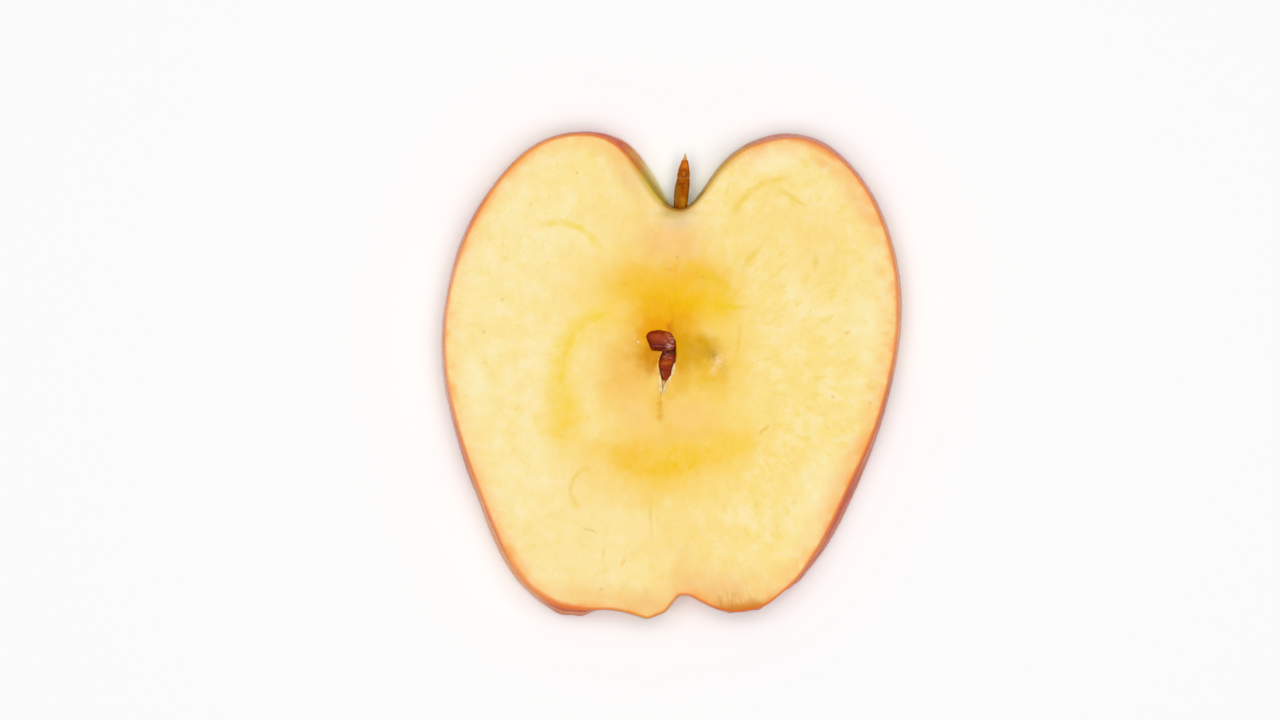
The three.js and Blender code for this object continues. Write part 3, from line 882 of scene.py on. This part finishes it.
def sliceOutlines(cad, faceHeight):  # of the cut face and of the foot, at even headings
    shape = sliceShape
    fine = np.linspace(0, 2 * math.pi, shape["samples"], endpoint=False)
    rim = circularSmooth(radiiAt(cad, cellCentre, faceHeight - 0.05, fine), 3.0)
    foot = circularSmooth(radiiAt(cad, cellCentre, shape["footHeight"], fine), 3.0)
    for heading, spread, rimPush, footPush in shape["nudges"]:
        away = (np.degrees(fine) - heading + 180) % 360 - 180
        near = np.exp(-((away / spread) ** 2))
        rim += rimPush * near
        foot += footPush * near
    return fine, rim, foot


def columnHeadings(fine, rim):  # at even runs of the outline, closer together where it bends
    x, y = rim * np.cos(fine), rim * np.sin(fine)
    dx, dy = np.roll(x, -1) - x, np.roll(y, -1) - y
    heading = np.unwrap(np.arctan2(dy, dx))
    bend = circularSmooth(np.abs(np.roll(heading, -1) - heading) % math.pi, 8.0)
    weight = circularSmooth(np.hypot(dx, dy) + 2.0 * bend, 12.0)
    run = np.concatenate([[0], np.cumsum(weight)])
    spots = np.linspace(0, run[-1], sliceShape["columns"], endpoint=False)
    return np.interp(spots, run, np.append(fine, 2 * math.pi))


def sliceRings(rimAt, footAt, lipAt, skew, faceHeight):
    # (radius, height, kind) from the bottom of the cell over the lip, the face and the skin to the
    # middle of the lower face, and the edge of the lower face
    shape = sliceShape
    columns = shape["columns"]
    rings = []

    def addRing(radius, height, kind):
        rings.append((radius, np.full(columns, height), kind))

    def skinRadius(height):
        return rimAt + (footAt - rimAt) * (1 - (height / faceHeight) ** 2)

    steps = growingSteps(shape["fineStep"], shape["growth"], shape["fineReach"])
    for i in range(1, shape["cellRings"] + 1):
        share = math.sin(0.5 * math.pi * i / (shape["cellRings"] + 0.5))
        addRing(lipAt * share, faceHeight, "cell")
    inner = [lipAt + 0.05 + step for step in steps]
    outer = [rimAt - step * skew for step in steps[::-1]]
    for radius in inner:
        addRing(radius, faceHeight, "face")
    for i in range(1, shape["middleRings"]):
        addRing(blend(inner[-1], outer[0], i / shape["middleRings"]), faceHeight, "face")
    for radius in outer:
        addRing(radius, faceHeight, "face")

    for height in (faceHeight - 0.03, faceHeight - 0.1):
        addRing(skinRadius(height) + 0.03, height, "skin")
    for height in np.linspace(faceHeight - 0.25, shape["footHeight"], shape["sideRings"]):
        addRing(skinRadius(height) + 0.04, height, "skin")
    for share in (0.35, 0.7, 0.95):
        height = 0.3 * (1 - math.sin(0.5 * math.pi * share))
        drawnIn = shape["tuck"] * (1 - math.cos(0.5 * math.pi * share))
        addRing(skinRadius(0) + 0.03 - drawnIn * skew, height, "skin")
    footEdge = skinRadius(0) - shape["tuck"] * skew
    under = [footEdge - step * skew for step in growingSteps(0.12, 1.5, 3.0)]
    for radius in under:
        addRing(radius, 0.0, "under")
    for i in range(1, shape["underRings"]):
        addRing(under[-1] * (1 - i / shape["underRings"]), 0.0, "under")
    return rings, footEdge


def faceRelief(x, y, z, fromRim, fromLip):  # unevenness of the upper cut face, in millimetres
    shape = sliceShape
    flat = np.column_stack([x, y, np.zeros(len(x))])
    drag = np.column_stack([x * 0.06, y, np.zeros(len(x))])  # the marks run across the slice
    relief = waves(flat, shape["faceWaves"]) + waves(drag, shape["knifeMarks"])
    relief = relief * smooth(0.2, 1.2, fromRim) * smooth(0.05, 0.8, fromLip)
    # the flesh sags a little beside the skin, and the skin's edge stands proud of it
    relief -= shape["fleshSag"] * np.exp(-(((fromRim - 0.7) / 0.55) ** 2))
    relief += shape["skinProud"] * np.exp(-((fromRim / 0.22) ** 2))
    (dentX, dentY), (wide, tall) = shape["nextCell"]["at"], shape["nextCell"]["size"]
    dentReach = np.hypot((x - dentX) / wide, (y - dentY) / tall)
    relief -= shape["nextCell"]["depth"] * smooth(1.0, 0.25, dentReach)
    (fleckX, fleckY), (wide, tall) = shape["tornFlecks"]["at"], shape["tornFlecks"]["size"]
    flecks = np.exp(-(((x - fleckX) / wide) ** 2) - ((y - fleckY) / tall) ** 2)
    near = flecks > 0.02
    ridged = np.abs(fractal(np.column_stack([x, y, z])[near], 0.8, 3, 5.0))
    relief[near] += flecks[near] * (0.3 - ridged) * shape["tornFlecks"]["height"]
    relief -= 0.12 * np.exp(-fromLip / 0.25)  # rounded lip of the cell
    return relief


def cellDeepness(x, y, inwards, faceHeight):  # a pointed hollow, with the upper seed's bed in its wall
    shape = sliceShape
    bedDepth = faceHeight - acrossLow[2] + shape["seedRoom"]
    bed = bedDepth * np.clip(1 - np.minimum(bedReach(x, y), 1) ** 2.6, 0, 1) ** (1 / 2.6)
    well = shape["cellDepth"] * np.clip(1 - np.minimum(cellReach(x, y), 1) ** 3, 0, 1) ** 0.5
    tipY = shape["cell"][0][0]
    tipShare = smooth(tipY + 1.5, tipY + 3.4, y)
    ledge = 0.15 * smooth(0.0, 0.2, inwards)  # the walls slope first, and drop away under the seeds
    drop = np.maximum(bed, well * tipShare) * smooth(0.04, 0.6, inwards)
    return ledge + np.maximum(drop, 0.25 * smooth(0.1, 0.5, inwards))


def skinWaver(x, y, z, faceHeight):
    waver = waves(np.column_stack([x, y, z * 1.5]), sliceShape["skinWaves"])
    return waver * (smooth(0.0, 0.5, faceHeight - z) * smooth(0.0, 0.5, z))


def makeSliceMesh():
    shape = sliceShape
    cad = cadTree("slice")
    faceHeight = cad.ray_cast(Vector((-20, 0, 50)), Vector((0, 0, -1)))[0].z
    fine, rim, foot = sliceOutlines(cad, faceHeight)
    angle = columnHeadings(fine, rim)
    rimAt, footAt, slope = [
        np.interp(angle, fine, values, period=2 * math.pi) for values in (rim, foot, np.gradient(rim, fine))
    ]
    lipAt = lipRadii(angle)
    # a step measured along the ray, per step square to the skin
    skew = np.minimum(np.sqrt(1 + (slope / rimAt) ** 2), 2.2)
    rings, footEdge = sliceRings(rimAt, footAt, lipAt, skew, faceHeight)
    radii, heights, kind = [np.array(values) for values in zip(*rings)]

    mesh, ring, column, _ = ballLattice("slice_body", shape["columns"], len(rings) + 1)
    pole = (ring == 0) | (ring == len(rings) + 1)
    row = np.clip(ring - 1, 0, len(rings) - 1)
    kinds = kind[row]
    away = np.where(pole, 0.0, radii[row, column])
    heading = angle[column]
    x = cellCentre[0] + away * np.cos(heading)
    y = cellCentre[1] + away * np.sin(heading)
    z = heights[row, column].copy()

    # distance from the skin's edge, on each cut face
    fromRim = awayFrom(fine, rim, x, y)
    fromFoot = awayFrom(angle, footEdge, x, y)
    fromRim = np.where(kinds == "under", fromFoot, fromRim)
    fromLip = np.where(kinds == "cell", 0.0, away - lipAt[column])

    onFace = (kinds == "face") & ~pole
    z[onFace] += faceRelief(*[values[onFace] for values in (x, y, z, fromRim, fromLip)])
    inCell = (kinds == "cell") | (ring == 0)
    deep = cellDeepness(x, y, np.maximum(lipAt[column] - away, 0), faceHeight)
    z = np.where(inCell, faceHeight - shape["lipDrop"] - deep, z)
    hollow = np.where(inCell, np.clip(deep / shape["cellDepth"], 0, 1), 0)

    # the skin wavers, and the lower face is cut a little unevenly too
    onSkin = (kinds == "skin") & ~pole
    waver = np.zeros(len(x))
    waver[onSkin] = skinWaver(x[onSkin], y[onSkin], z[onSkin], faceHeight)
    x += waver * np.cos(heading)
    y += waver * np.sin(heading)
    onUnder = (kinds == "under") & (ring <= len(rings))
    underRelief = np.zeros(len(x))
    flat = np.column_stack([x, y, np.zeros(len(x))])[onUnder]
    underRelief[onUnder] = 0.02 + waves(flat, shape["underWaves"])
    z += np.clip(underRelief, 0, 0.08) * smooth(0.0, 1.0, fromRim)

    mesh.vertices.foreach_set("co", (np.column_stack([x, y, z]) * mm).ravel())
    floatAttribute(mesh, "rimDistance", fromRim)
    floatAttribute(mesh, "hollow", hollow)

    # faces between two skin rings are skin
    skinRing = set(np.nonzero(kind == "skin")[0] + 1)
    ringOf = ring.tolist()
    slots = [int(all(ringOf[v] in skinRing for v in p.vertices)) for p in mesh.polygons]
    mesh.polygons.foreach_set("material_index", slots)
    mesh.update()
    return mesh


def seedLean(name):  # height of the seed's middle plane, from the CAD node's own vertices
    points = np.array([v.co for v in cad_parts[name].data.vertices]) / mm
    fit = np.column_stack([points[:, 0], points[:, 1], np.ones(len(points))])
    return np.linalg.lstsq(fit, points[:, 2], rcond=None)[0]


def makeSeed(name, material):
    shape = seedShapes[name]
    middle, fine, rounded = planRadii(shape["plan"], 6.0)
    low, high = boxInMm(name)

    mesh, _, _, ball = ballLattice(name + "_coat", seedGrid["columns"], seedGrid["rings"])
    around = np.arctan2(ball[:, 1], ball[:, 0])
    out = np.interp(around, fine, rounded, period=2 * math.pi)
    flatShare = np.hypot(ball[:, 0], ball[:, 1])
    power = 2 / shape["fullness"]
    wide = flatShare**power
    tall = np.sign(ball[:, 2]) * np.abs(ball[:, 2]) ** power
    x = middle[0] + out * wide * np.cos(around)
    y = middle[1] + out * wide * np.sin(around)
    leanX, leanY, base = seedLean(name)
    thick = (high[2] - low[2] - abs(leanY) * (high[1] - low[1]) * 0.8) / 2
    z = base + leanX * x + leanY * y + thick * tall

    # grooves run along the coat, and one end is crumpled where a film dried on it
    turn = math.radians(shape["along"])
    along = x * math.cos(turn) + y * math.sin(turn)
    aside = y * math.cos(turn) - x * math.sin(turn)
    ribs = fractal(np.column_stack([along * 0.22, aside * 1.0, z * 1.0]), 0.42, 3, 40.0)
    lumps = fractal(np.column_stack([x, y, z]), 1.6, 2, 44.0)
    creases = 0.35 - np.abs(fractal(np.column_stack([x, y, z]), 0.75, 3, 51.0))
    crumple = shape["crumple"]
    fromCrumple = (x - crumple["at"][0]) ** 2 + (y - crumple["at"][1]) ** 2
    crumpled = np.exp(-fromCrumple / crumple["reach"] ** 2)
    push = shape["grooves"] * ribs + 0.07 * lumps + crumple["depth"] * creases * crumpled * 2
    start, end = np.array(shape["edge"]["from"]), np.array(shape["edge"]["to"])
    length = end - start
    share = ((x - start[0]) * length[0] + (y - start[1]) * length[1]) / (length**2).sum()
    share = np.clip(share, 0, 1)
    fromSeam = np.hypot(x - start[0] - share * length[0], y - start[1] - share * length[1])
    seam = shape["edge"]["height"] * np.exp(-((fromSeam / 0.16) ** 2))
    push += np.where(ball[:, 2] > 0, seam, 0)
    normal = np.column_stack([ball[:, 0], ball[:, 1], ball[:, 2] * 1.3])
    normal /= np.linalg.norm(normal, axis=1)[:, None]
    moved = np.column_stack([x, y, z]) + normal * push[:, None]
    mesh.vertices.foreach_set("co", (moved * mm).ravel())
    floatAttribute(mesh, "crumpled", crumpled)
    floatAttribute(mesh, "alongSeed", along)
    mesh.update()
    return finishPiece(mesh, name + "_coat", [material], [name])


seedLook = {
    "coat": "#94300A",
    "dark": "#4E1508",
    "bright": "#B04406",
    # pale film on the crumpled end, partly painted highlight
    "film": "#D8A08E",
    "patches": [  # tone, at, size, turn, share of it that is even, share laid on
        ("#B4460F", (-2.3, 6.1), (1.5, 0.7), 0, 0.3, 0.7),
        ("#6A200E", (-3.3, 5), (0.9, 1.2), 0, 0.3, 0.5),
        # painted shade along the upper seed's lower part, and a painted highlight line on its seam
        ("#5A1C18", (-2, 4.86), (1.5, 0.16), -3, 0.3, 0.85),
        ("#9A5248", (-2.1, 4.62), (1.1, 0.1), -2, 0.3, 0.8),
        ("#5E160A", (-2, 4.2), (1.6, 0.4), -2, 0.3, 0.8),
        ("#3E1420", (-1, 4.5), (0.5, 0.2), -10, 0.3, 0.8),
        # a painted highlight, then pale film streaks that are partly painted highlight, at the upper seed's
        # right end
        ("#D0A8AE", (-0.4, 4.45), (0.4, 0.13), 30, 0.3, 0.8),
        ("#B06A60", (-0.6, 5.1), (0.6, 0.13), -50, 0.3, 0.6),
        ("#B87868", (-0.1, 5.4), (0.7, 0.13), -60, 0.3, 0.6),
        ("#B46A58", (-1, 5.5), (0.5, 0.12), -55, 0.3, 0.6),
        ("#C46A28", (-0.5, 6.4), (0.7, 0.5), -30, 0.3, 0.5),
        # painted shade on the lower seed's top, under the upper seed
        ("#4A180C", (-0.2, 3.6), (1, 0.4), 0, 0.3, 0.7),
        ("#C05A12", (-0.8, 1.9), (1.4, 0.4), 3, 0.3, 0.8),
        ("#7A2210", (-0.9, 0.9), (1.3, 0.4), 0, 0.3, 0.5),
        ("#8A5826", (-1.3, 0.3), (0.36, 0.5), 20, 0.3, 0.6),
        ("#7A4418", (-0.9, -0.7), (0.5, 0.3), 0, 0.3, 0.7),
    ],
}


def makeSeedCoat():
    material, tree, shader = newMaterial("seedCoat")
    look = seedLook
    here = millimetres(tree)
    along = add(tree, "Attribute", attribute_name="alongSeed").outputs["Fac"]
    crumpled = add(tree, "Attribute", attribute_name="crumpled").outputs["Fac"]
    broad = cloud(tree, here, 0.7, 3)
    fine = mottled(tree, here, 3.2, 0.3)
    bands = cloud(tree, add(tree, "CombineXYZ", {0: along}).outputs[0], 1.1, 2)
    colour = layTone(tree, look["coat"], look["bright"], ramp(tree, bands, 0.48, 0.66, 0.0, 0.6))
    colour = layTone(tree, colour, look["dark"], ramp(tree, broad, 0.5, 0.34, 0.0, 0.5))
    colour = layPatches(tree, colour, here, look["patches"])
    colour = layTone(tree, colour, look["dark"], ramp(tree, fine, 0.2, 1.0, 0.0, 0.35))
    lean = {"Rotation": (0, 0, math.radians(40)), "Scale": (1.2, 5.0, 1.0)}
    fanned = add(tree, "Mapping", {"Vector": here, **lean}).outputs[0]
    # pale film threads on the crumpled end, partly painted highlight
    threadsAndGlints = ramp(tree, cloud(tree, fanned, 1.0, 3, distortion=0.6), 0.5, 0.62)
    colour = layTone(tree, colour, look["film"], times(tree, crumpled, threadsAndGlints, 0.75))
    finishSurface(tree, shader, colour, ramp(tree, broad, 0.3, 0.7, 0.2, 0.36), 0.06)
    roughen(tree, shader, fine, 0.3, 0.05)
    return material


stemShape = {
    "root": 1.7,  # where the profile's distances start, from the lower end of the CAD stem
    "columns": 72,
    "ringStep": 0.09,
    "profile": [  # distance along the stem, half width and middle, from its buried end to its tip
        (-1.9, 0.75, 1.46), (-0.6, 1.02, 1.48), (0.2, 1.06, 1.5), (1.54, 1.13, 1.6),
        (3.12, 1.16, 1.74), (4.2, 1.04, 1.88), (4.7, 0.97, 1.94), (5.4, 0.93, 2),
        (6.05, 0.83, 2.06), (6.7, 0.7, 2.13), (7.2, 0.54, 2.17), (7.5, 0.43, 2.18),
        (7.7, 0.32, 2.2), (8.1, 0.17, 2.22), (8.6, 0.04, 2.23),
    ],
    "joint": 4.65,  # a fine line round the stem
    "scar": {"at": 5.34, "half": (0.46, 0.66)},  # an oval scar on its upper side
    "collar": 7.45,  # the bark ends here and the pale inside shows
}


def makeStem(material):
    shape = stemShape
    low, high = boxInMm("stem")
    rootY, rootZ = low[1] + shape["root"], (low[2] + high[2]) / 2
    stops = np.array(shape["profile"])
    run = np.arange(stops[0, 0], stops[-1, 0] + 0.01, shape["ringStep"])
    halves = np.interp(run, stops[:, 0], stops[:, 1])
    halves = np.convolve(np.pad(halves, 2, mode="edge"), [0.1, 0.2, 0.4, 0.2, 0.1], "valid")

    stem = bmesh.new()
    chain = [stem.verts.new((0, run[0], 0))]
    chain += [stem.verts.new((half, along, 0)) for half, along in zip(halves, run)]
    chain.append(stem.verts.new((0, run[-1] + 0.04, 0)))
    edges = [stem.edges.new(pair) for pair in zip(chain, chain[1:])]
    bmesh.ops.spin(
        stem,
        geom=chain + edges,
        axis=(0, 1, 0),
        cent=(0, 0, 0),
        angle=2 * math.pi,
        steps=shape["columns"],
        use_merge=True,
        use_duplicate=False,
    )
    bmesh.ops.remove_doubles(stem, verts=stem.verts, dist=1e-5)
    bmesh.ops.recalc_face_normals(stem, faces=stem.faces)

    scar = shape["scar"]
    for vert in stem.verts:
        x, along, z = vert.co
        half = math.hypot(x, z)
        around = math.atan2(z, x)
        wound = Vector((math.cos(around), along * 0.2, math.sin(around)))
        bark = 0.05 * noise.fractal(wound * 1.9 + Vector((3, 0, 9)), 1.0, 2.0, 3)
        bark += 0.035 * noise.fractal(Vector((wound.x * 5, along * 0.7, wound.z * 5)), 1.0, 2.0, 3)
        bark += 0.03 * noise.noise(Vector((x, along, z)) * 2.4)
        bark -= 0.05 * math.exp(-(((along - shape["joint"]) / 0.09) ** 2))
        bark += 0.05 * math.exp(-(((along - shape["collar"] + 0.1) / 0.12) ** 2))
        if z > 0:
            ringed = math.hypot(x / scar["half"][0], (along - scar["at"]) / scar["half"][1])
            bark += 0.09 * math.exp(-(((ringed - 1) / 0.28) ** 2)) - 0.07 * math.exp(-((ringed / 0.6) ** 2))
        fade = float(smooth(shape["profile"][0][0], -0.5, along)) * min(1, half / 0.3)
        grown = 1 + bark * fade / max(half, 0.12)
        flat = 0.94 if z > 0 else 1.0
        middle = float(np.interp(along, stops[:, 0], stops[:, 2]))
        vert.co = Vector((middle + x * grown, rootY + along, rootZ + z * grown * flat)) * mm
    mesh = bpy.data.meshes.new("stem_wood")
    stem.to_mesh(mesh)
    stem.free()
    floatAttribute(mesh, "alongStem", [v.co.y / mm - rootY for v in mesh.vertices])
    floatAttribute(mesh, "flank", [1 - max(0.0, v.normal.z) for v in mesh.vertices])
    return finishPiece(mesh, "stem_wood", [material], ["stem"])


stemLook = {
    "bark": "#A85402",
    "rust": "#C26206",
    "dark": "#4E2204",
    "inside": "#DFA45A",
    "grain": "#D08A30",
    "joint": "#B88A5C",
    "scarRing": "#7A3404",
    "scarCore": "#BE6A1C",
    "shade": "#5A2606",
    "patches": [  # tone, at, size, turn, share of it that is even, share laid on
        ("#D87A1C", (2.15, 33.3), (0.6, 0.7), 0, 0.3, 0.8),
        ("#C87018", (2, 31.9), (0.7, 1), 0, 0.3, 0.5),
        ("#6E2E04", (1.7, 30.3), (0.7, 0.35), 10, 0.3, 0.7),
        ("#6E2E04", (1.9, 29.7), (0.3, 0.25), 0, 0.3, 0.7),
        ("#9A7C24", (0.86, 28.7), (0.36, 2.6), -3, 0.3, 0.7),
        ("#BE8408", (2, 27.4), (0.8, 1.2), 0, 0.3, 0.7),
        ("#A85E08", (2.4, 29.6), (0.4, 1.6), 0, 0.3, 0.5),
    ],
}


def makeStemWood():
    material, tree, shader = newMaterial("stemWood")
    look = stemLook
    here = millimetres(tree)
    along = add(tree, "Attribute", attribute_name="alongStem").outputs["Fac"]
    flank = add(tree, "Attribute", attribute_name="flank").outputs["Fac"]
    grain = cloud(tree, here, 1.0, 4, stretch=(4.5, 0.7, 4.5))
    blotch = cloud(tree, here, 1.1, 3)
    colour = layTone(tree, look["bark"], look["rust"], ramp(tree, along, 3.8, 6.4))
    colour = layPatches(tree, colour, here, look["patches"])
    fromJoint = calc(tree, "ABSOLUTE", calc(tree, "SUBTRACT", along, stemShape["joint"]))
    colour = layTones(
        tree,
        colour,
        (look["dark"], ramp(tree, grain, 0.46, 0.3, 0.0, 0.45)),
        (look["grain"], ramp(tree, grain, 0.56, 0.74, 0.0, 0.35)),
        (look["dark"], ramp(tree, blotch, 0.42, 0.3, 0.0, 0.4)),
        (look["joint"], ramp(tree, fromJoint, 0.04, 0.1, 0.6, 0.0)),
    )
    scar = stemShape["scar"]
    scarAt = (2.0, boxInMm("stem")[0][1] + stemShape["root"] + scar["at"])
    for part, reach, core, share in (("scarRing", 1.3, 0.75, 0.7), ("scarCore", 0.8, 0.6, 0.75)):
        size = (scar["half"][0] * reach, scar["half"][1] * reach)
        mask = patchMask(tree, here, scarAt, size, 0, core)
        colour = layTone(tree, colour, look[part], times(tree, mask, share))
    fray = ramp(tree, cloud(tree, here, 2.0, 3), 0.3, 0.7, -0.35, 0.35)
    ragged = calc(tree, "ADD", along, fray)
    collar = stemShape["collar"]
    colour = layTones(
        tree,
        colour,
        (look["shade"], ramp(tree, ragged, collar - 0.25, collar, 0.0, 0.8)),
        (look["inside"], ramp(tree, ragged, collar, collar + 0.1)),
        (look["shade"], ramp(tree, flank, 0.55, 0.95, 0.0, 0.7)),
    )
    finishSurface(tree, shader, colour, ramp(tree, grain, 0.3, 0.7, 0.62, 0.42), 0.03)
    roughen(tree, shader, grain, 0.5, 0.1)
    return material


liningShape = {
    "height": 5.5,  # the cut face that it stands on
    "steps": 26,
    "across": 4,
    "thickness": 0.05,
    "ribbons": [  # side it opens to, width, how steeply it stands, and its route along the lip
        (-1, 0.2, 40, [(-1.96, 2.9), (-2.1, 2.2), (-2.16, 1.4), (-2.0, 0.6), (-1.8, -0.2)]),
        (-1, 0.5, 20, [(-1.88, 0.2), (-1.74, -0.8), (-1.66, -1.8), (-1.6, -2.8)]),
        (1, 0.52, 24, [(-1.34, -2.8), (-0.92, -1.9), (-0.42, -0.9), (0.08, 0.0)]),
        (1, 0.56, 30, [(0.12, -0.1), (0.34, 0.8), (0.6, 1.9)]),
    ],
    "lit": "#FBDC9C",
    "veined": "#C8903C",
}


def alongRoute(route, share):
    points = np.array(route, float)
    run = np.concatenate([[0], np.cumsum(np.hypot(*np.diff(points, axis=0).T))])
    at = share * run[-1]
    return Vector((np.interp(at, run, points[:, 0]), np.interp(at, run, points[:, 1]), 0))


def makeRibbon(number, side, width, steepness, route):
    shape = liningShape
    strip = bmesh.new()
    bmesh.ops.create_grid(strip, x_segments=shape["steps"], y_segments=shape["across"], size=0.5)
    stand = math.radians(steepness)
    for vert in strip.verts:
        share, out = vert.co.x + 0.5, vert.co.y + 0.5
        ahead = alongRoute(route, min(1, share + 0.04)) - alongRoute(route, max(0, share - 0.04))
        aside = Vector((ahead.y, -ahead.x, 0)).normalized()
        if aside.x * side < 0:
            aside = -aside
        ragged = 1 + 0.9 * noise.noise(Vector((share * 11, number * 5.0, 0))) * out
        tapered = math.sin(math.pi * min(1, max(0.0, 0.06 + share * 0.88))) ** 0.5
        reach = width * ragged * tapered
        curl = 0.06 * noise.noise(Vector((share * 5, out * 2, number * 3.0)))
        lift = (out - 0.4) * reach * math.sin(stand) + curl
        raised = Vector((0, 0, shape["height"] + lift))
        vert.co = alongRoute(route, share) + aside * ((out - 0.55) * reach) * math.cos(stand) + raised
    bmesh.ops.solidify(strip, geom=strip.faces[:], thickness=shape["thickness"])
    bmesh.ops.recalc_face_normals(strip, faces=strip.faces)
    return strip


def makeLining(material):
    whole = bmesh.new()
    for number, ribbon in enumerate(liningShape["ribbons"]):
        strip = makeRibbon(number, *ribbon)
        piece = bpy.data.meshes.new("ribbon")
        strip.to_mesh(piece)
        strip.free()
        whole.from_mesh(piece)
        bpy.data.meshes.remove(piece)
    bmesh.ops.scale(whole, vec=(mm, mm, mm), verts=whole.verts)
    mesh = bpy.data.meshes.new("cell_lining")
    whole.to_mesh(mesh)
    whole.free()
    return finishPiece(mesh, "cell_lining", [material])


def makeParchment():
    material, tree, shader = newMaterial("cellParchment")
    streaks = cloud(tree, millimetres(tree), 1.0, 3, stretch=(3.0, 1.0, 3.0))
    veined = ramp(tree, streaks, 0.5, 0.68, 0.0, 0.75)
    colour = layTone(tree, liningShape["lit"], liningShape["veined"], veined)
    tree.links.new(colour, shader.inputs["Base Color"])
    tree.links.new(ramp(tree, streaks, 0.3, 0.7, 0.25, 0.45), shader.inputs["Roughness"])
    return material


finishPiece(makeSliceMesh(), "slice_body", [makeFlesh(), makeSkin()], ["slice"])
coat = makeSeedCoat()
for seedName in seedShapes:
    makeSeed(seedName, coat)
makeStem(makeStemWood())
makeLining(makeParchment())


def layFloor():
    sheet = bmesh.new()
    bmesh.ops.create_grid(sheet, x_segments=1, y_segments=1, size=studio["floorSize"] / 2)
    bmesh.ops.translate(sheet, vec=(0, 0, -0.00004), verts=sheet.verts)
    mesh = bpy.data.meshes.new("floor")
    sheet.to_mesh(mesh)
    sheet.free()
    floor = bpy.data.objects.new("floor", mesh)
    bpy.context.scene.collection.objects.link(floor)
    material, _, shader = newMaterial("paleFloor")
    shader.inputs["Base Color"].default_value = tone(studio["floorTone"])
    shader.inputs["Roughness"].default_value = 0.6
    shader.inputs["Specular IOR Level"].default_value = 0.2
    mesh.materials.append(material)


layFloor()
print("floor laid")
